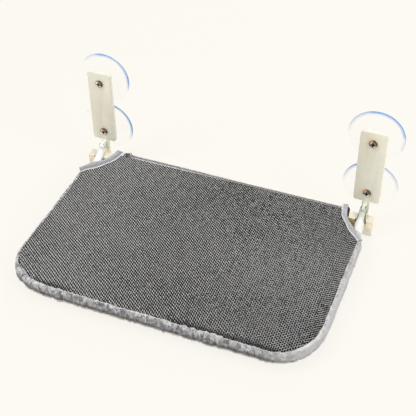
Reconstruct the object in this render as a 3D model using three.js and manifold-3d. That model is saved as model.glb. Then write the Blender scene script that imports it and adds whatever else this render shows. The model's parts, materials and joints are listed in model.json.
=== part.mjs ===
// Cat window hammock: two suction brackets, a folding tube frame and a zipped fabric bed.
// Millimetres. X runs along the window, +Y goes into the glass and +Z is up.
// The origin is on the glass, midway between the two brackets and between their screws.
// A distance is measured from the glass into the room, so it is -Y.
import * as THREE from 'three';
import { mergeVertices } from 'three/addons/utils/BufferGeometryUtils.js';
import Module from 'manifold-3d';

const wasm = await Module();
wasm.setup();

// Clearances
const seatGap = 0.3;
const runningGap = 0.5;
const overrun = 2;
const weldDistance = 0.0001;

// Facets
const arcStep = THREE.MathUtils.degToRad(15);
const cupSides = 32;
const insertSides = 16;
const screwSides = 20;
const pinSides = 16;
const armSides = 16;
const tubeSides = 16;
const rollSides = 12;
const ringSides = 8;
const ringSteps = 20;
const curveSteps = 4;
const crownSteps = 3;

// Bracket plate
const bracketSpacing = 436;
const plateDistance = 20;
const plateWidth = 40;
const plateHeight = 127;
const plateDepth = 6;
const plateWall = 2.2;
const plateCornerRadius = 4;
const plateEdgeRound = 1;
const ribThickness = 1.8;
const ribHeightShares = [0.33, 0.5, 0.67];
const bossRadius = 9;

// Screws and their inserts
const lowerScrewInset = 17;
const upperScrewInset = 19;
const screwHeadRadius = 6.3;
const screwHeadHeight = 3.2;
const screwHeadCrown = 0.9;
const screwShankRadius = 2.9;
const screwTipSetback = 0.6;
const screwTipChamfer = 0.75;
const recessSpan = 6.4;
const recessWidth = 1.5;
const recessDepth = 1.8;
const insertRadius = 4.6;
const insertLength = 6.4;
const insertFlangeRadius = 6.8;
const insertFlangeThickness = 1.4;

// Suction cups
const cupGap = 6;
const cupRimWidth = 8;
const cupRimThickness = 1.3;
const cupChamberDepth = 3;
const cupShoulderHeight = 7;
const cupShoulderRadius = 16;
const cupHubRadius = 10.5;
const cupHubRound = 2;

// Neck, saddle and hinge lug of a bracket
const neckWidth = 11;
const saddleWidth = 37.5;
const saddleDrop = 17;
const saddleHeight = 31;
const saddleDepth = 16;
const saddleBackReach = 3;
const saddleLowerRound = 8;
const saddleUpperRound = 1.2;
const saddleWall = 2.4;
const neckBendRadius = 5;
const neckElbowDrop = 10.3;
const neckBackElbowDrop = 8;
const lugRadius = 4;
const lugWidth = 4.4;
const pinRadius = 1.6;
const pinInset = 0.4;

// Hinge arm
const pivotReach = 12;
const pivotDrop = 5;
const armTipRadius = 5.5;
const armSocketRadius = 7.5;
const armDrop = 5;
const armSlopeRun = 23;
const armReach = 36;
const armUpperBend = 8;
const armLowerBend = 12;
const socketDepth = 9.5;

// Tube frame
const tubeRadius = 6;
const tubeWall = 1.2;
const tubeDrop = 26.5;
const frameReach = 306;
const frameCornerRadius = 50;
const spigotLength = 70;

// Bed outline, seen from above
const rollGap = 0.5;
const rollHalfWidth = 3.75;
const rollTopDrop = 1.6;
const rollRoundingShare = 0.6;
const seamInset = 3;
const cutoutReach = 78;
const cutoutCentreSetback = 10.7;
const cutoutClearance = 0.7;
const wovenRearReach = 8;

// Bed layers
const hammockDip = 4;
const wovenThickness = 2.5;
const wovenEdgeDrop = 0.9;
const underThickness = 3.3;
const rearBandDepth = 3;
const rearBandDrop = 1;
const padEdgeDrop = 2.5;
const padCutoutInset = 14;
const bindingWidth = 9;
const bindingThickness = 1;
const cutoutRows = 9;
const sideRows = 4;
const panelColumns = 14;
const edgePowerShare = 8;

// Zip
const zipEndMargin = 9;
const toothRowWidth = 1.3;
const toothRowThickness = 1.6;
const toothSlit = 1.4;
const tapeThickness = 0.6;
const frontTapeWidth = 1.1;
const rearTapeWidth = 1.8;
const rearTapeDrop = 5;
const stopLength = 2.2;
const stopThickness = 2;
const sliderLength = 8;
const sliderWall = 0.9;
const sliderPostLength = 2.4;
const bridgeLength = 5.2;
const bridgeWidth = 1.6;
const bridgeHeight = 2.8;
const ringRadius = 3.9;
const ringWireRadius = 0.6;

// Places worked out from the sizes
const screwSpacing = plateHeight - lowerScrewInset - upperScrewInset;
const cupRadius = (screwSpacing - cupGap) / 2;
const plateBottom = -screwSpacing / 2 - lowerScrewInset;
const plateMiddle = plateBottom + plateHeight / 2;
const plateBackDistance = plateDistance - plateDepth;
const pivotDistance = plateDistance + pivotReach;
const saddleBackDistance = pivotDistance - saddleBackReach;
const saddleFrontDistance = saddleBackDistance + saddleDepth;
const armEndDistance = pivotDistance + armReach;
const saddleTop = plateBottom - saddleDrop;
const saddleBottom = saddleTop - saddleHeight;
const pivotHeight = plateBottom - pivotDrop;
const tubeHeight = plateBottom - tubeDrop;
const socketRadius = tubeRadius + seatGap;
const socketStartDistance = armEndDistance - socketDepth;
const hubDistance = plateBackDistance - seatGap;
const frameFrontDistance = plateDistance + frameReach;
const rollOffset = tubeRadius + rollGap + rollHalfWidth;
const rollSpacing = bracketSpacing + 2 * rollOffset;
const rollFrontDistance = frameFrontDistance + rollOffset;
const rollCornerRadius = frameCornerRadius + rollOffset;
const cornerOffset = bracketSpacing / 2 - frameCornerRadius;
const cornerDistance = frameFrontDistance - frameCornerRadius;
const cutoutCentreOffset = bracketSpacing / 2 + cutoutReach;
const cutoutCentreDistance = plateDistance - cutoutCentreSetback;
const cutoutRadius = cutoutClearance + Math.hypot(
  cutoutReach + saddleWidth / 2, saddleFrontDistance - cutoutCentreDistance);
const wovenWidth = rollSpacing - 2 * seamInset;
const wovenFrontDistance = rollFrontDistance - seamInset;
const wovenRearDistance = plateDistance + wovenRearReach;
const underTop = tubeHeight - tubeRadius - seatGap;
const underBottom = underTop - underThickness;
const wovenBottom = tubeHeight + tubeRadius + seatGap;
const wovenTop = wovenBottom + wovenThickness;
const rollHalfHeight = (wovenTop - rollTopDrop - underBottom) / 2;
const chainHalfWidth = toothSlit / 2 + toothRowWidth;
const zipDistance = wovenRearDistance - chainHalfWidth - frontTapeWidth - 2 * seatGap;
const zipHeight = (wovenBottom + wovenTop) / 2;
const rearTapeDistance = zipDistance - chainHalfWidth - seatGap - rearTapeWidth;
const underRearDistance = rearTapeDistance + tapeThickness + seatGap;
const zipHalfLength = cutoutCentreOffset - cutoutRadius - zipEndMargin;

// Materials, with the colours of the photograph
function material(color, roughness, metalness = 0, opacity = 1) {
  const transparent = opacity < 1;
  return new THREE.MeshStandardMaterial({ color, roughness, metalness, opacity, transparent });
}
const ivoryPlastic = () => material(0xe6e0cd, 0.35);
const clearVinyl = () => material(0xeaf4fa, 0.08, 0, 0.3);
const nickel = () => material(0xa89c86, 0.3, 0.9);
const brass = () => material(0xb8954a, 0.35, 0.9);
const whitePlastic = () => material(0xeef0ec, 0.3);
const whiteSteel = () => material(0xe8e9e6, 0.4, 0.2);
const pinSteel = () => material(0x9a9c9e, 0.3, 0.9);
const foam = () => material(0xd9d9d2, 0.95);
const wovenFabric = () => material(0x6b6b6b, 0.9);
const greyPlush = () => material(0xbcbdc1, 1);
const greyBinding = () => material(0xb4b4b8, 0.85);
const greyTape = () => material(0xc2c2c4, 0.8);
const greyTeeth = () => material(0xb0b0b2, 0.5);
const darkNickel = () => material(0x6d6a63, 0.35, 0.85);

// Turns a three.js geometry into a solid with shared corners and its faces outwards
function solidOf(geometry) {
  const bare = geometry.clone();
  bare.deleteAttribute('normal');
  bare.deleteAttribute('uv');
  const welded = mergeVertices(bare, weldDistance);
  const places = welded.getAttribute('position').array;
  const corner = (index) => new THREE.Vector3().fromArray(places, 3 * index);
  const corners = [];
  let volume = 0;
  for (let first = 0; first < welded.index.count; first += 3) {
    const [a, b, c] = welded.index.array.slice(first, first + 3);
    if (a === b || b === c || c === a) continue;
    corners.push(a, b, c);
    volume += corner(a).dot(corner(b).cross(corner(c)));
  }
  if (volume < 0) corners.reverse();
  const triVerts = Uint32Array.from(corners);
  return new wasm.Manifold(new wasm.Mesh({ numProp: 3, vertProperties: places, triVerts }));
}

function geometryOf(solid) {
  const mesh = solid.getMesh();
  const geometry = new THREE.BufferGeometry();
  geometry.setAttribute('position', new THREE.BufferAttribute(mesh.vertProperties, mesh.numProp));
  geometry.setIndex(new THREE.BufferAttribute(mesh.triVerts, 1));
  geometry.computeVertexNormals();
  return geometry;
}

const join = (...solids) => solids.reduce((whole, solid) => whole.add(solid));
const cut = (whole, ...tools) => tools.reduce((rest, tool) => rest.subtract(tool), whole);

// A box between two values of x, of distance from the glass and of height
function box([x0, x1], [near, far], [low, high]) {
  const geometry = new THREE.BoxGeometry(x1 - x0, far - near, high - low);
  return solidOf(geometry.translate((x0 + x1) / 2, -(near + far) / 2, (low + high) / 2));
}

// A cylinder along X, from its two ends, its distance from the glass and its height
function crossCylinder(radius, [x0, x1], distance, height, sides) {
  const geometry = new THREE.CylinderGeometry(radius, radius, x1 - x0, sides);
  return solidOf(geometry.rotateZ(Math.PI / 2).translate((x0 + x1) / 2, -distance, height));
}

// A cylinder that stands out from the glass
function outwardCylinder(radius, [near, far], x, height, sides) {
  const geometry = new THREE.CylinderGeometry(radius, radius, far - near, sides);
  return solidOf(geometry.translate(x, -(near + far) / 2, height));
}

// A turned piece whose profile is [radius, distance from the glass]
function turned(profile, sides) {
  const points = profile.map(([radius, distance]) => new THREE.Vector2(radius, distance));
  return solidOf(new THREE.LatheGeometry(points, sides).rotateX(Math.PI));
}

// Gives each corner of a line an arc of its own radius; a corner is [place, radius]
function roundCorners(corners, closed = false) {
  const count = corners.length;
  return corners.flatMap(([place, radius], index) => {
    const isEnd = !closed && (index === 0 || index === count - 1);
    if (isEnd || !radius) return [place.clone()];
    const back = corners[(index + count - 1) % count][0].clone().sub(place).normalize();
    const ahead = corners[(index + 1) % count][0].clone().sub(place).normalize();
    const halfAngle = back.angleTo(ahead) / 2;
    const turn = Math.PI - 2 * halfAngle;
    const inward = back.clone().add(ahead).normalize();
    const centre = place.clone().addScaledVector(inward, radius / Math.sin(halfAngle));
    const reach = radius / Math.tan(halfAngle);
    const start = place.clone().addScaledVector(back, reach).sub(centre);
    const end = place.clone().addScaledVector(ahead, reach).sub(centre);
    const steps = Math.ceil(turn / arcStep);
    return Array.from({ length: steps + 1 }, (_, step) => {
      const startShare = Math.sin((1 - step / steps) * turn) / Math.sin(turn);
      const endShare = Math.sin((step / steps) * turn) / Math.sin(turn);
      return centre.clone().addScaledVector(start, startShare).addScaledVector(end, endShare);
    });
  });
}

const flat = (x, y) => new THREE.Vector3(x, y, 0);

// A side outline, in distances and heights, drawn across a width that is centred on x
function crossProfile(corners, width, x = 0) {
  const outline = roundCorners(corners.map(([d, z, radius]) => [flat(-d, z), radius]), true);
  const shape = new THREE.Shape(outline.map((point) => new THREE.Vector2(point.x, point.y)));
  const geometry = new THREE.ExtrudeGeometry(shape, { depth: width, bevelEnabled: false });
  const axesFromProfile = new THREE.Matrix4().set(0, 0, 1, 0, 1, 0, 0, 0, 0, 1, 0, 0, 0, 0, 0, 1);
  return solidOf(geometry.applyMatrix4(axesFromProfile).translate(x - width / 2, 0, 0));
}

function roundedRectangle(width, height, radius) {
  const corners = [[1, 1], [-1, 1], [-1, -1], [1, -1]].map(([across, up]) => {
    return [flat(across * width / 2, up * height / 2), radius];
  });
  return new THREE.Shape(roundCorners(corners, true).map((p) => new THREE.Vector2(p.x, p.y)));
}

// Closes a body from rings of points that all have the same count
function loft(rings, startPoint, endPoint) {
  const sides = rings[0].length;
  const points = [...rings.flat(), startPoint, endPoint];
  const startIndex = points.length - 2;
  const endIndex = points.length - 1;
  const triangles = [];
  for (let side = 0; side < sides; side++) {
    const next = (side + 1) % sides;
    const lastRing = (rings.length - 1) * sides;
    triangles.push(startIndex, next, side, endIndex, lastRing + side, lastRing + next);
    for (let ring = 0; ring < rings.length - 1; ring++) {
      const here = ring * sides;
      const beyond = here + sides;
      triangles.push(here + side, here + next, beyond + side);
      triangles.push(here + next, beyond + next, beyond + side);
    }
  }
  const geometry = new THREE.BufferGeometry().setFromPoints(points);
  return solidOf(geometry.setIndex(triangles));
}

// Sweeps an oval along points that lie in one plane; across is that plane's normal.
// A rounding share of 1 gives an ellipse, and a smaller one a squarer section.
function sweep(path, across, acrossRadiusAt, inPlaneRadiusAt, sides, roundingShare = 1) {
  const swell = (value) => Math.sign(value) * Math.abs(value) ** roundingShare;
  const lengths = [0];
  path.slice(1).forEach((point, index) => {
    lengths.push(lengths[index] + point.distanceTo(path[index]));
  });
  const rings = path.map((centre, index) => {
    const before = path[Math.max(index - 1, 0)];
    const after = path[Math.min(index + 1, path.length - 1)];
    const along = after.clone().sub(before).normalize();
    const inPlane = along.cross(across);
    return Array.from({ length: sides }, (_, side) => {
      const angle = 2 * Math.PI * (side + 0.5) / sides;
      return centre.clone()
        .addScaledVector(across, swell(Math.cos(angle)) * acrossRadiusAt(lengths[index]))
        .addScaledVector(inPlane, swell(Math.sin(angle)) * inPlaneRadiusAt(lengths[index]));
    });
  });
  return loft(rings, path[0], path[path.length - 1]);
}

// Bracket: a hollow ribbed plate, a neck, a hinge lug and a saddle for the arm
function plateSolid() {
  const innerWidth = plateWidth - 2 * plateEdgeRound;
  const innerHeight = plateHeight - 2 * plateEdgeRound;
  const outer = new THREE.ExtrudeGeometry(roundedRectangle(innerWidth, innerHeight, plateCornerRadius), {
    depth: plateDepth - 2 * plateEdgeRound,
    bevelThickness: plateEdgeRound,
    bevelSize: plateEdgeRound,
    bevelSegments: 2,
  });
  const pocketShape = roundedRectangle(
    plateWidth - 2 * plateWall, plateHeight - 2 * plateWall, plateCornerRadius - plateWall / 2);
  const pocket = new THREE.ExtrudeGeometry(pocketShape, { depth: plateDepth, bevelEnabled: false });
  const upright = (geometry, distance) => {
    return solidOf(geometry.rotateX(Math.PI / 2).translate(0, -distance, plateMiddle));
  };
  const ribWidth = [-plateWidth / 2 + plateWall / 2, plateWidth / 2 - plateWall / 2];
  const ribDepth = [plateBackDistance + plateEdgeRound, plateDistance - plateWall / 2];
  const ribs = ribHeightShares.map((heightShare) => {
    const height = plateBottom + heightShare * plateHeight;
    return box(ribWidth, ribDepth, [height - ribThickness / 2, height + ribThickness / 2]);
  });
  const spine = box(
    [-ribThickness / 2, ribThickness / 2], ribDepth, [-screwSpacing / 2, screwSpacing / 2]);
  const bosses = [-1, 1].map((end) => {
    const depth = [plateBackDistance, plateDistance - plateWall / 2];
    return outwardCylinder(bossRadius, depth, 0, end * screwSpacing / 2, screwSides);
  });
  const shell = cut(
    upright(outer, plateBackDistance + plateEdgeRound), upright(pocket, plateBackDistance - plateWall));
  return join(shell, ...ribs, spine, ...bosses);
}

function armPath() {
  const slopeEnd = pivotDistance + armSlopeRun;
  const corners = [
    [pivotDistance, pivotHeight, 0],
    [pivotDistance, pivotHeight - armDrop, armUpperBend],
    [slopeEnd, tubeHeight, armLowerBend],
    [armEndDistance, tubeHeight, 0],
  ];
  return roundCorners(corners.map(([distance, height, radius]) => {
    return [new THREE.Vector3(0, -distance, height), radius];
  }));
}

// The arm's body grows from its rounded tip to the socket; extra makes room for it
function armBody(extra) {
  const path = armPath();
  const growthLength = armDrop + armSlopeRun;
  const radiusAt = (length) => {
    const growthShare = Math.min(Math.max(length - armDrop, 0) / growthLength, 1);
    return armTipRadius + (armSocketRadius - armTipRadius) * growthShare + extra;
  };
  const across = new THREE.Vector3(1, 0, 0);
  const tip = new THREE.SphereGeometry(armTipRadius + extra, armSides, armSides / 2);
  const dome = solidOf(tip.rotateX(Math.PI / 2).translate(0, -pivotDistance, pivotHeight));
  return join(sweep(path, across, radiusAt, radiusAt, armSides), dome);
}

function saddleSolid() {
  const outline = [
    [saddleFrontDistance, saddleTop, saddleUpperRound],
    [saddleFrontDistance, saddleBottom, saddleLowerRound],
    [saddleBackDistance, saddleBottom, saddleUpperRound],
    [saddleBackDistance, saddleTop, saddleUpperRound],
  ];
  const slotWidth = 2 * (armSocketRadius + runningGap);
  const slotOutline = armPath().map((point) => [-point.y, point.z, 0]);
  const slotTop = saddleTop + saddleHeight;
  slotOutline.push([armEndDistance, slotTop, 0], [pivotDistance, slotTop, 0]);
  const slot = crossProfile(slotOutline, slotWidth);
  const earWidth = (saddleWidth - slotWidth) / 2;
  const cores = [-1, 1].map((side) => {
    const middle = side * (slotWidth + earWidth) / 2;
    const half = earWidth / 2 - saddleWall;
    const depth = [saddleBackDistance - overrun, saddleFrontDistance - saddleWall];
    const height = [saddleBottom + saddleWall + saddleWall, saddleTop - saddleWall];
    return box([middle - half, middle + half], depth, height);
  });
  return cut(crossProfile(outline, saddleWidth), ...cores, slot, armBody(runningGap));
}

function neckSolid() {
  const elbowHeight = saddleTop - neckElbowDrop;
  const outline = [
    [plateDistance, plateBottom + plateWall, 0],
    [plateDistance, elbowHeight, neckBendRadius],
    [saddleBackDistance + saddleWall, elbowHeight, 0],
    [saddleBackDistance + saddleWall, saddleBottom + saddleWall, 0],
    [plateBackDistance, elbowHeight - neckBackElbowDrop, neckBendRadius],
    [plateBackDistance, plateBottom + plateWall, 0],
  ];
  return crossProfile(outline, neckWidth);
}

function lugSolid() {
  const root = [plateDistance - plateWall, pivotDistance];
  const bar = box([-lugWidth / 2, lugWidth / 2], root, [pivotHeight - lugRadius, pivotHeight + lugRadius]);
  const eye = crossCylinder(lugRadius, [-lugWidth / 2, lugWidth / 2], pivotDistance, pivotHeight, armSides);
  return join(bar, eye);
}

function pinHole() {
  const reach = armSocketRadius + overrun;
  return crossCylinder(pinRadius + seatGap, [-reach, reach], pivotDistance, pivotHeight, pinSides);
}

function bracketSolid() {
  const screwHoles = [-1, 1].map((end) => {
    const depth = [plateBackDistance - overrun, plateDistance + overrun];
    return outwardCylinder(screwShankRadius + seatGap, depth, 0, end * screwSpacing / 2, insertSides);
  });
  const whole = join(plateSolid(), neckSolid(), saddleSolid(), lugSolid());
  return cut(whole, ...screwHoles, pinHole());
}

// Suction cup with its neck, and a stepped pocket for the insert
function suctionCupSolid() {
  const pocketRadius = insertRadius + seatGap;
  const flangePocketRadius = insertFlangeRadius + seatGap;
  const flangeTop = hubDistance - insertLength + insertFlangeThickness + seatGap;
  const pocketEnd = hubDistance - insertLength - seatGap;
  const chamber = new THREE.EllipseCurve(
    0, 0, cupRadius - cupRimWidth, cupChamberDepth, Math.PI / 2, 0, true);
  const dome = new THREE.QuadraticBezierCurve(
    new THREE.Vector2(cupRadius, cupRimThickness),
    new THREE.Vector2(cupShoulderRadius + cupHubRadius, cupShoulderHeight),
    new THREE.Vector2(cupHubRadius + cupHubRound, cupShoulderHeight));
  const profile = [
    [0, cupChamberDepth],
    ...chamber.getPoints(curveSteps).slice(1).map((point) => [point.x, point.y]),
    [cupRadius, 0],
    ...dome.getPoints(curveSteps).map((point) => [point.x, point.y]),
    [cupHubRadius, cupShoulderHeight + cupHubRound],
    [cupHubRadius, hubDistance],
    [pocketRadius, hubDistance],
    [pocketRadius, flangeTop],
    [flangePocketRadius, flangeTop],
    [flangePocketRadius, pocketEnd],
    [0, pocketEnd],
  ];
  return turned(profile, cupSides);
}

function insertSolid() {
  const start = hubDistance - insertLength;
  const boreRadius = screwShankRadius + seatGap;
  const profile = [
    [boreRadius, start],
    [insertFlangeRadius, start],
    [insertFlangeRadius, start + insertFlangeThickness],
    [insertRadius, start + insertFlangeThickness],
    [insertRadius, hubDistance],
    [boreRadius, hubDistance],
    [boreRadius, start],
  ];
  return turned(profile, insertSides);
}

function screwSolid() {
  const seat = plateDistance + seatGap;
  const sideHeight = screwHeadHeight - screwHeadCrown;
  const tip = hubDistance - insertLength + screwTipSetback;
  const crown = new THREE.EllipseCurve(0, seat + sideHeight, screwHeadRadius, screwHeadCrown, 0, Math.PI / 2);
  const profile = [
    [0, tip],
    [screwShankRadius - screwTipChamfer, tip],
    [screwShankRadius, tip + screwTipChamfer],
    [screwShankRadius, seat],
    [screwHeadRadius, seat],
    ...crown.getPoints(crownSteps).slice(0, crownSteps).map((point) => [point.x, point.y]),
    [0, seat + screwHeadHeight],
  ];
  const depth = [seat + screwHeadHeight - recessDepth, seat + screwHeadHeight + overrun];
  const long = [-recessSpan / 2, recessSpan / 2];
  const short = [-recessWidth / 2, recessWidth / 2];
  return cut(turned(profile, screwSides), join(box(long, depth, short), box(short, depth, long)));
}

// Hinge arm: a fork at its tip for the bracket's lug, and a socket for the tube
function armSolid() {
  const clearance = lugRadius + seatGap;
  const reach = armSocketRadius + overrun;
  const forkOutline = [
    [pivotDistance + clearance, pivotHeight - clearance, clearance],
    [pivotDistance - reach, pivotHeight - clearance, 0],
    [pivotDistance - reach, pivotHeight + reach, 0],
    [pivotDistance + clearance, pivotHeight + reach, 0],
  ];
  const fork = crossProfile(forkOutline, lugWidth + 2 * seatGap);
  const socketDistance = [socketStartDistance, armEndDistance + overrun];
  const socket = outwardCylinder(socketRadius, socketDistance, 0, tubeHeight, tubeSides);
  return cut(armBody(0), fork, pinHole(), socket);
}

function pinSolid() {
  const half = armTipRadius - pinInset;
  return crossCylinder(pinRadius, [-half, half], pivotDistance, pivotHeight, pinSides);
}

// Half of the tube frame, from the arm's socket round a front corner to the middle
function frameTubeSolid(side) {
  const across = new THREE.Vector3(0, 0, 1);
  const x = side * bracketSpacing / 2;
  const centreLine = (startDistance, endOffset) => roundCorners([
    [new THREE.Vector3(x, -startDistance, tubeHeight), 0],
    [new THREE.Vector3(x, -frameFrontDistance, tubeHeight), frameCornerRadius],
    [new THREE.Vector3(endOffset, -frameFrontDistance, tubeHeight), 0],
  ]);
  const outerRadius = () => tubeRadius;
  const innerRadius = () => tubeRadius - tubeWall;
  const start = socketStartDistance + seatGap;
  const outerPath = centreLine(start, side * seatGap / 2);
  const innerPath = centreLine(start - overrun, -side * overrun);
  const outer = sweep(outerPath, across, outerRadius, outerRadius, tubeSides);
  return cut(outer, sweep(innerPath, across, innerRadius, innerRadius, tubeSides));
}

function spigotSolid() {
  const half = spigotLength / 2;
  const radius = tubeRadius - tubeWall - seatGap;
  return crossCylinder(radius, [-half, half], frameFrontDistance, tubeHeight, pinSides);
}

// Half the width of a bed layer at a distance from the glass
function halfWidthAt(distance, layer) {
  const cornerRadius = layer.frontDistance - cornerDistance;
  const pastCorner = Math.max(distance - cornerDistance, 0);
  const bulge = Math.sqrt(Math.max(cornerRadius ** 2 - pastCorner ** 2, 0));
  const frontHalf = Math.min(cornerOffset + bulge, layer.width / 2);
  const arcRadius = cutoutRadius + layer.cutoutInset;
  const arcReach = arcRadius ** 2 - (distance - cutoutCentreDistance) ** 2;
  const cutoutHalf = arcReach > 0 ? cutoutCentreOffset - Math.sqrt(arcReach) : frontHalf;
  return Math.min(frontHalf, cutoutHalf);
}

// The distances at which a layer has rows of points: cut-outs, sides and front corners
function rowDistances(layer) {
  const arcRadius = cutoutRadius + layer.cutoutInset;
  const offset = cutoutCentreOffset - layer.width / 2;
  const cutoutEnd = cutoutCentreDistance + Math.sqrt(arcRadius ** 2 - offset ** 2);
  const cornerRadius = layer.frontDistance - cornerDistance;
  const between = (from, to, count) => {
    return Array.from({ length: count }, (_, step) => from + (to - from) * step / count);
  };
  const quarterSteps = Math.round(Math.PI / 2 / arcStep);
  const corner = Array.from({ length: quarterSteps + 1 }, (_, step) => {
    return cornerDistance + cornerRadius * Math.sin(step * arcStep);
  });
  return [
    ...between(layer.rearDistance, cutoutEnd, cutoutRows),
    ...between(cutoutEnd, cornerDistance, sideRows),
    ...corner,
  ];
}

// How far the bed hangs down between the tubes
function dipAt(x, distance) {
  const acrossShare = 2 * x / bracketSpacing;
  const alongShare = (distance - plateDistance) / (frameFrontDistance - plateDistance);
  const acrossDip = Math.max(1 - acrossShare ** 2, 0) ** 2;
  const alongDip = Math.max(4 * alongShare * (1 - alongShare), 0) ** 2;
  return hammockDip * acrossDip * alongDip;
}

// A soft layer: rows of points over its outline, with its edge drawn in by edgeDrop.
// The drop follows a power of the share of the way from the middle to the edge.
function layerSolid(layer) {
  const columns = Array.from({ length: panelColumns + 1 }, (_, column) => {
    return Math.sin(Math.PI / 2 * (2 * column / panelColumns - 1));
  });
  const distances = rowDistances(layer);
  const last = distances.length - 1;
  const points = [];
  for (const distance of distances) {
    const alongShare = 2 * (distance - layer.rearDistance) / (distances[last] - layer.rearDistance) - 1;
    for (const acrossShare of columns) {
      const x = acrossShare * halfWidthAt(distance, layer);
      const dip = dipAt(x, distance);
      const edgeShare = Math.max(Math.abs(acrossShare), Math.abs(alongShare)) ** edgePowerShare;
      const drop = layer.edgeDrop * edgeShare;
      points.push(new THREE.Vector3(x, -distance, layer.top - dip - drop));
      points.push(new THREE.Vector3(x, -distance, layer.bottom - dip));
    }
  }
  const width = columns.length;
  const at = (row, column, below) => 2 * (row * width + column) + below;
  const triangles = [];
  const face = (a, b, c, d) => triangles.push(a, b, c, a, c, d);
  for (let row = 0; row < last; row++) {
    for (let column = 0; column < width - 1; column++) {
      face(at(row, column, 0), at(row + 1, column, 0), at(row + 1, column + 1, 0), at(row, column + 1, 0));
      face(at(row, column, 1), at(row, column + 1, 1), at(row + 1, column + 1, 1), at(row + 1, column, 1));
    }
    face(at(row, 0, 0), at(row, 0, 1), at(row + 1, 0, 1), at(row + 1, 0, 0));
    const edge = width - 1;
    face(at(row, edge, 1), at(row, edge, 0), at(row + 1, edge, 0), at(row + 1, edge, 1));
  }
  for (let column = 0; column < width - 1; column++) {
    face(at(0, column, 1), at(0, column, 0), at(0, column + 1, 0), at(0, column + 1, 1));
    face(at(last, column, 0), at(last, column, 1), at(last, column + 1, 1), at(last, column + 1, 0));
  }
  return solidOf(new THREE.BufferGeometry().setFromPoints(points).setIndex(triangles));
}

function wovenPanelSolid() {
  return layerSolid({
    width: wovenWidth,
    frontDistance: wovenFrontDistance,
    rearDistance: wovenRearDistance,
    cutoutInset: bindingThickness + seatGap,
    top: wovenTop,
    bottom: wovenBottom,
    edgeDrop: wovenEdgeDrop,
  });
}

function foamPadSolid() {
  const tubeClearance = tubeRadius + seatGap;
  return layerSolid({
    width: bracketSpacing - 2 * tubeClearance,
    frontDistance: frameFrontDistance - tubeClearance,
    rearDistance: wovenRearDistance,
    cutoutInset: padCutoutInset,
    top: wovenBottom - seatGap,
    bottom: underTop + seatGap,
    edgeDrop: padEdgeDrop,
  });
}

// Plush under cover: a sheet, a soft roll round three sides and a band below the zip
function underCoverSolid() {
  const sheet = layerSolid({
    width: rollSpacing,
    frontDistance: rollFrontDistance,
    rearDistance: underRearDistance,
    cutoutInset: 0,
    top: underTop,
    bottom: underBottom,
    edgeDrop: 0,
  });
  const offset = cutoutCentreOffset - rollSpacing / 2;
  const rollStart = cutoutCentreDistance + Math.sqrt(cutoutRadius ** 2 - offset ** 2);
  const rollHeight = underBottom + rollHalfHeight;
  const place = (x, distance) => new THREE.Vector3(x, -distance, rollHeight);
  const path = roundCorners([
    [place(-rollSpacing / 2, rollStart), 0],
    [place(-rollSpacing / 2, rollFrontDistance), rollCornerRadius],
    [place(rollSpacing / 2, rollFrontDistance), rollCornerRadius],
    [place(rollSpacing / 2, rollStart), 0],
  ]);
  const upward = new THREE.Vector3(0, 0, 1);
  const roll = sweep(
    path, upward, () => rollHalfHeight, () => rollHalfWidth, rollSides, rollRoundingShare);
  const bandTop = wovenBottom - sliderWall - rearBandDrop;
  const bandBottom = underBottom + underThickness / 2;
  const bandDepth = [underRearDistance, underRearDistance + rearBandDepth];
  const band = box([-zipHalfLength, zipHalfLength], bandDepth, [bandBottom, bandTop]);
  return join(sheet, roll, band);
}

// Binding: an angled strip along a cut-out's arc, over the woven panel's edge
function bindingSolid(side) {
  const lowerEdge = wovenBottom;
  const lip = wovenTop + seatGap;
  const top = lip + bindingThickness;
  const section = [
    [0, lowerEdge],
    [0, top],
    [bindingWidth, top],
    [bindingWidth, lip],
    [bindingThickness, lip],
    [bindingThickness, lowerEdge],
  ];
  const startReach = wovenRearDistance - cutoutCentreDistance;
  const startAngle = Math.asin(startReach / cutoutRadius);
  const endOffset = cutoutCentreOffset - wovenWidth / 2;
  const endAngle = Math.acos(endOffset / cutoutRadius);
  const steps = 2 * cutoutRows;
  const rings = Array.from({ length: steps + 1 }, (_, step) => {
    const angle = startAngle + (endAngle - startAngle) * step / steps;
    return section.map(([inset, height]) => {
      const radius = cutoutRadius + inset;
      const x = side * (cutoutCentreOffset - radius * Math.cos(angle));
      return new THREE.Vector3(x, -cutoutCentreDistance - radius * Math.sin(angle), height);
    });
  });
  const [firstCorner, lastCorner] = [rings[0], rings[steps]].map((ring) => ring.at(-2).clone());
  return loft(rings, firstCorner, lastCorner);
}

// Zip pieces along the rear edge
function toothRowSolid(side) {
  const inner = zipDistance + side * toothSlit / 2;
  const outer = inner + side * toothRowWidth;
  const half = zipHalfLength - stopLength - seatGap;
  const height = [zipHeight - toothRowThickness / 2, zipHeight + toothRowThickness / 2];
  return box([-half, half], [Math.min(inner, outer), Math.max(inner, outer)], height);
}

function frontTapeSolid() {
  const near = zipDistance + chainHalfWidth + seatGap;
  const height = [zipHeight - tapeThickness / 2, zipHeight + tapeThickness / 2];
  return box([-zipHalfLength, zipHalfLength], [near, near + frontTapeWidth], height);
}

function rearTapeSolid() {
  const near = rearTapeDistance;
  const far = near + rearTapeWidth;
  const span = [-zipHalfLength, zipHalfLength];
  const top = zipHeight + tapeThickness / 2;
  const flatPart = box(span, [near, far], [top - tapeThickness, top]);
  const hangingPart = box(span, [near, near + tapeThickness], [top - rearTapeDrop, top]);
  return join(flatPart, hangingPart);
}

function stopSolid(side) {
  const outer = side * zipHalfLength;
  const inner = outer - side * stopLength;
  const height = [zipHeight - stopThickness / 2, zipHeight + stopThickness / 2];
  const depth = [zipDistance - chainHalfWidth, zipDistance + chainHalfWidth];
  return box([Math.min(inner, outer), Math.max(inner, outer)], depth, height);
}

const sliderStart = stopLength + seatGap - zipHalfLength;
const sliderMiddle = sliderStart + sliderLength / 2;
const sliderPlateHeight = zipHeight + toothRowThickness / 2 + seatGap;

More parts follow.
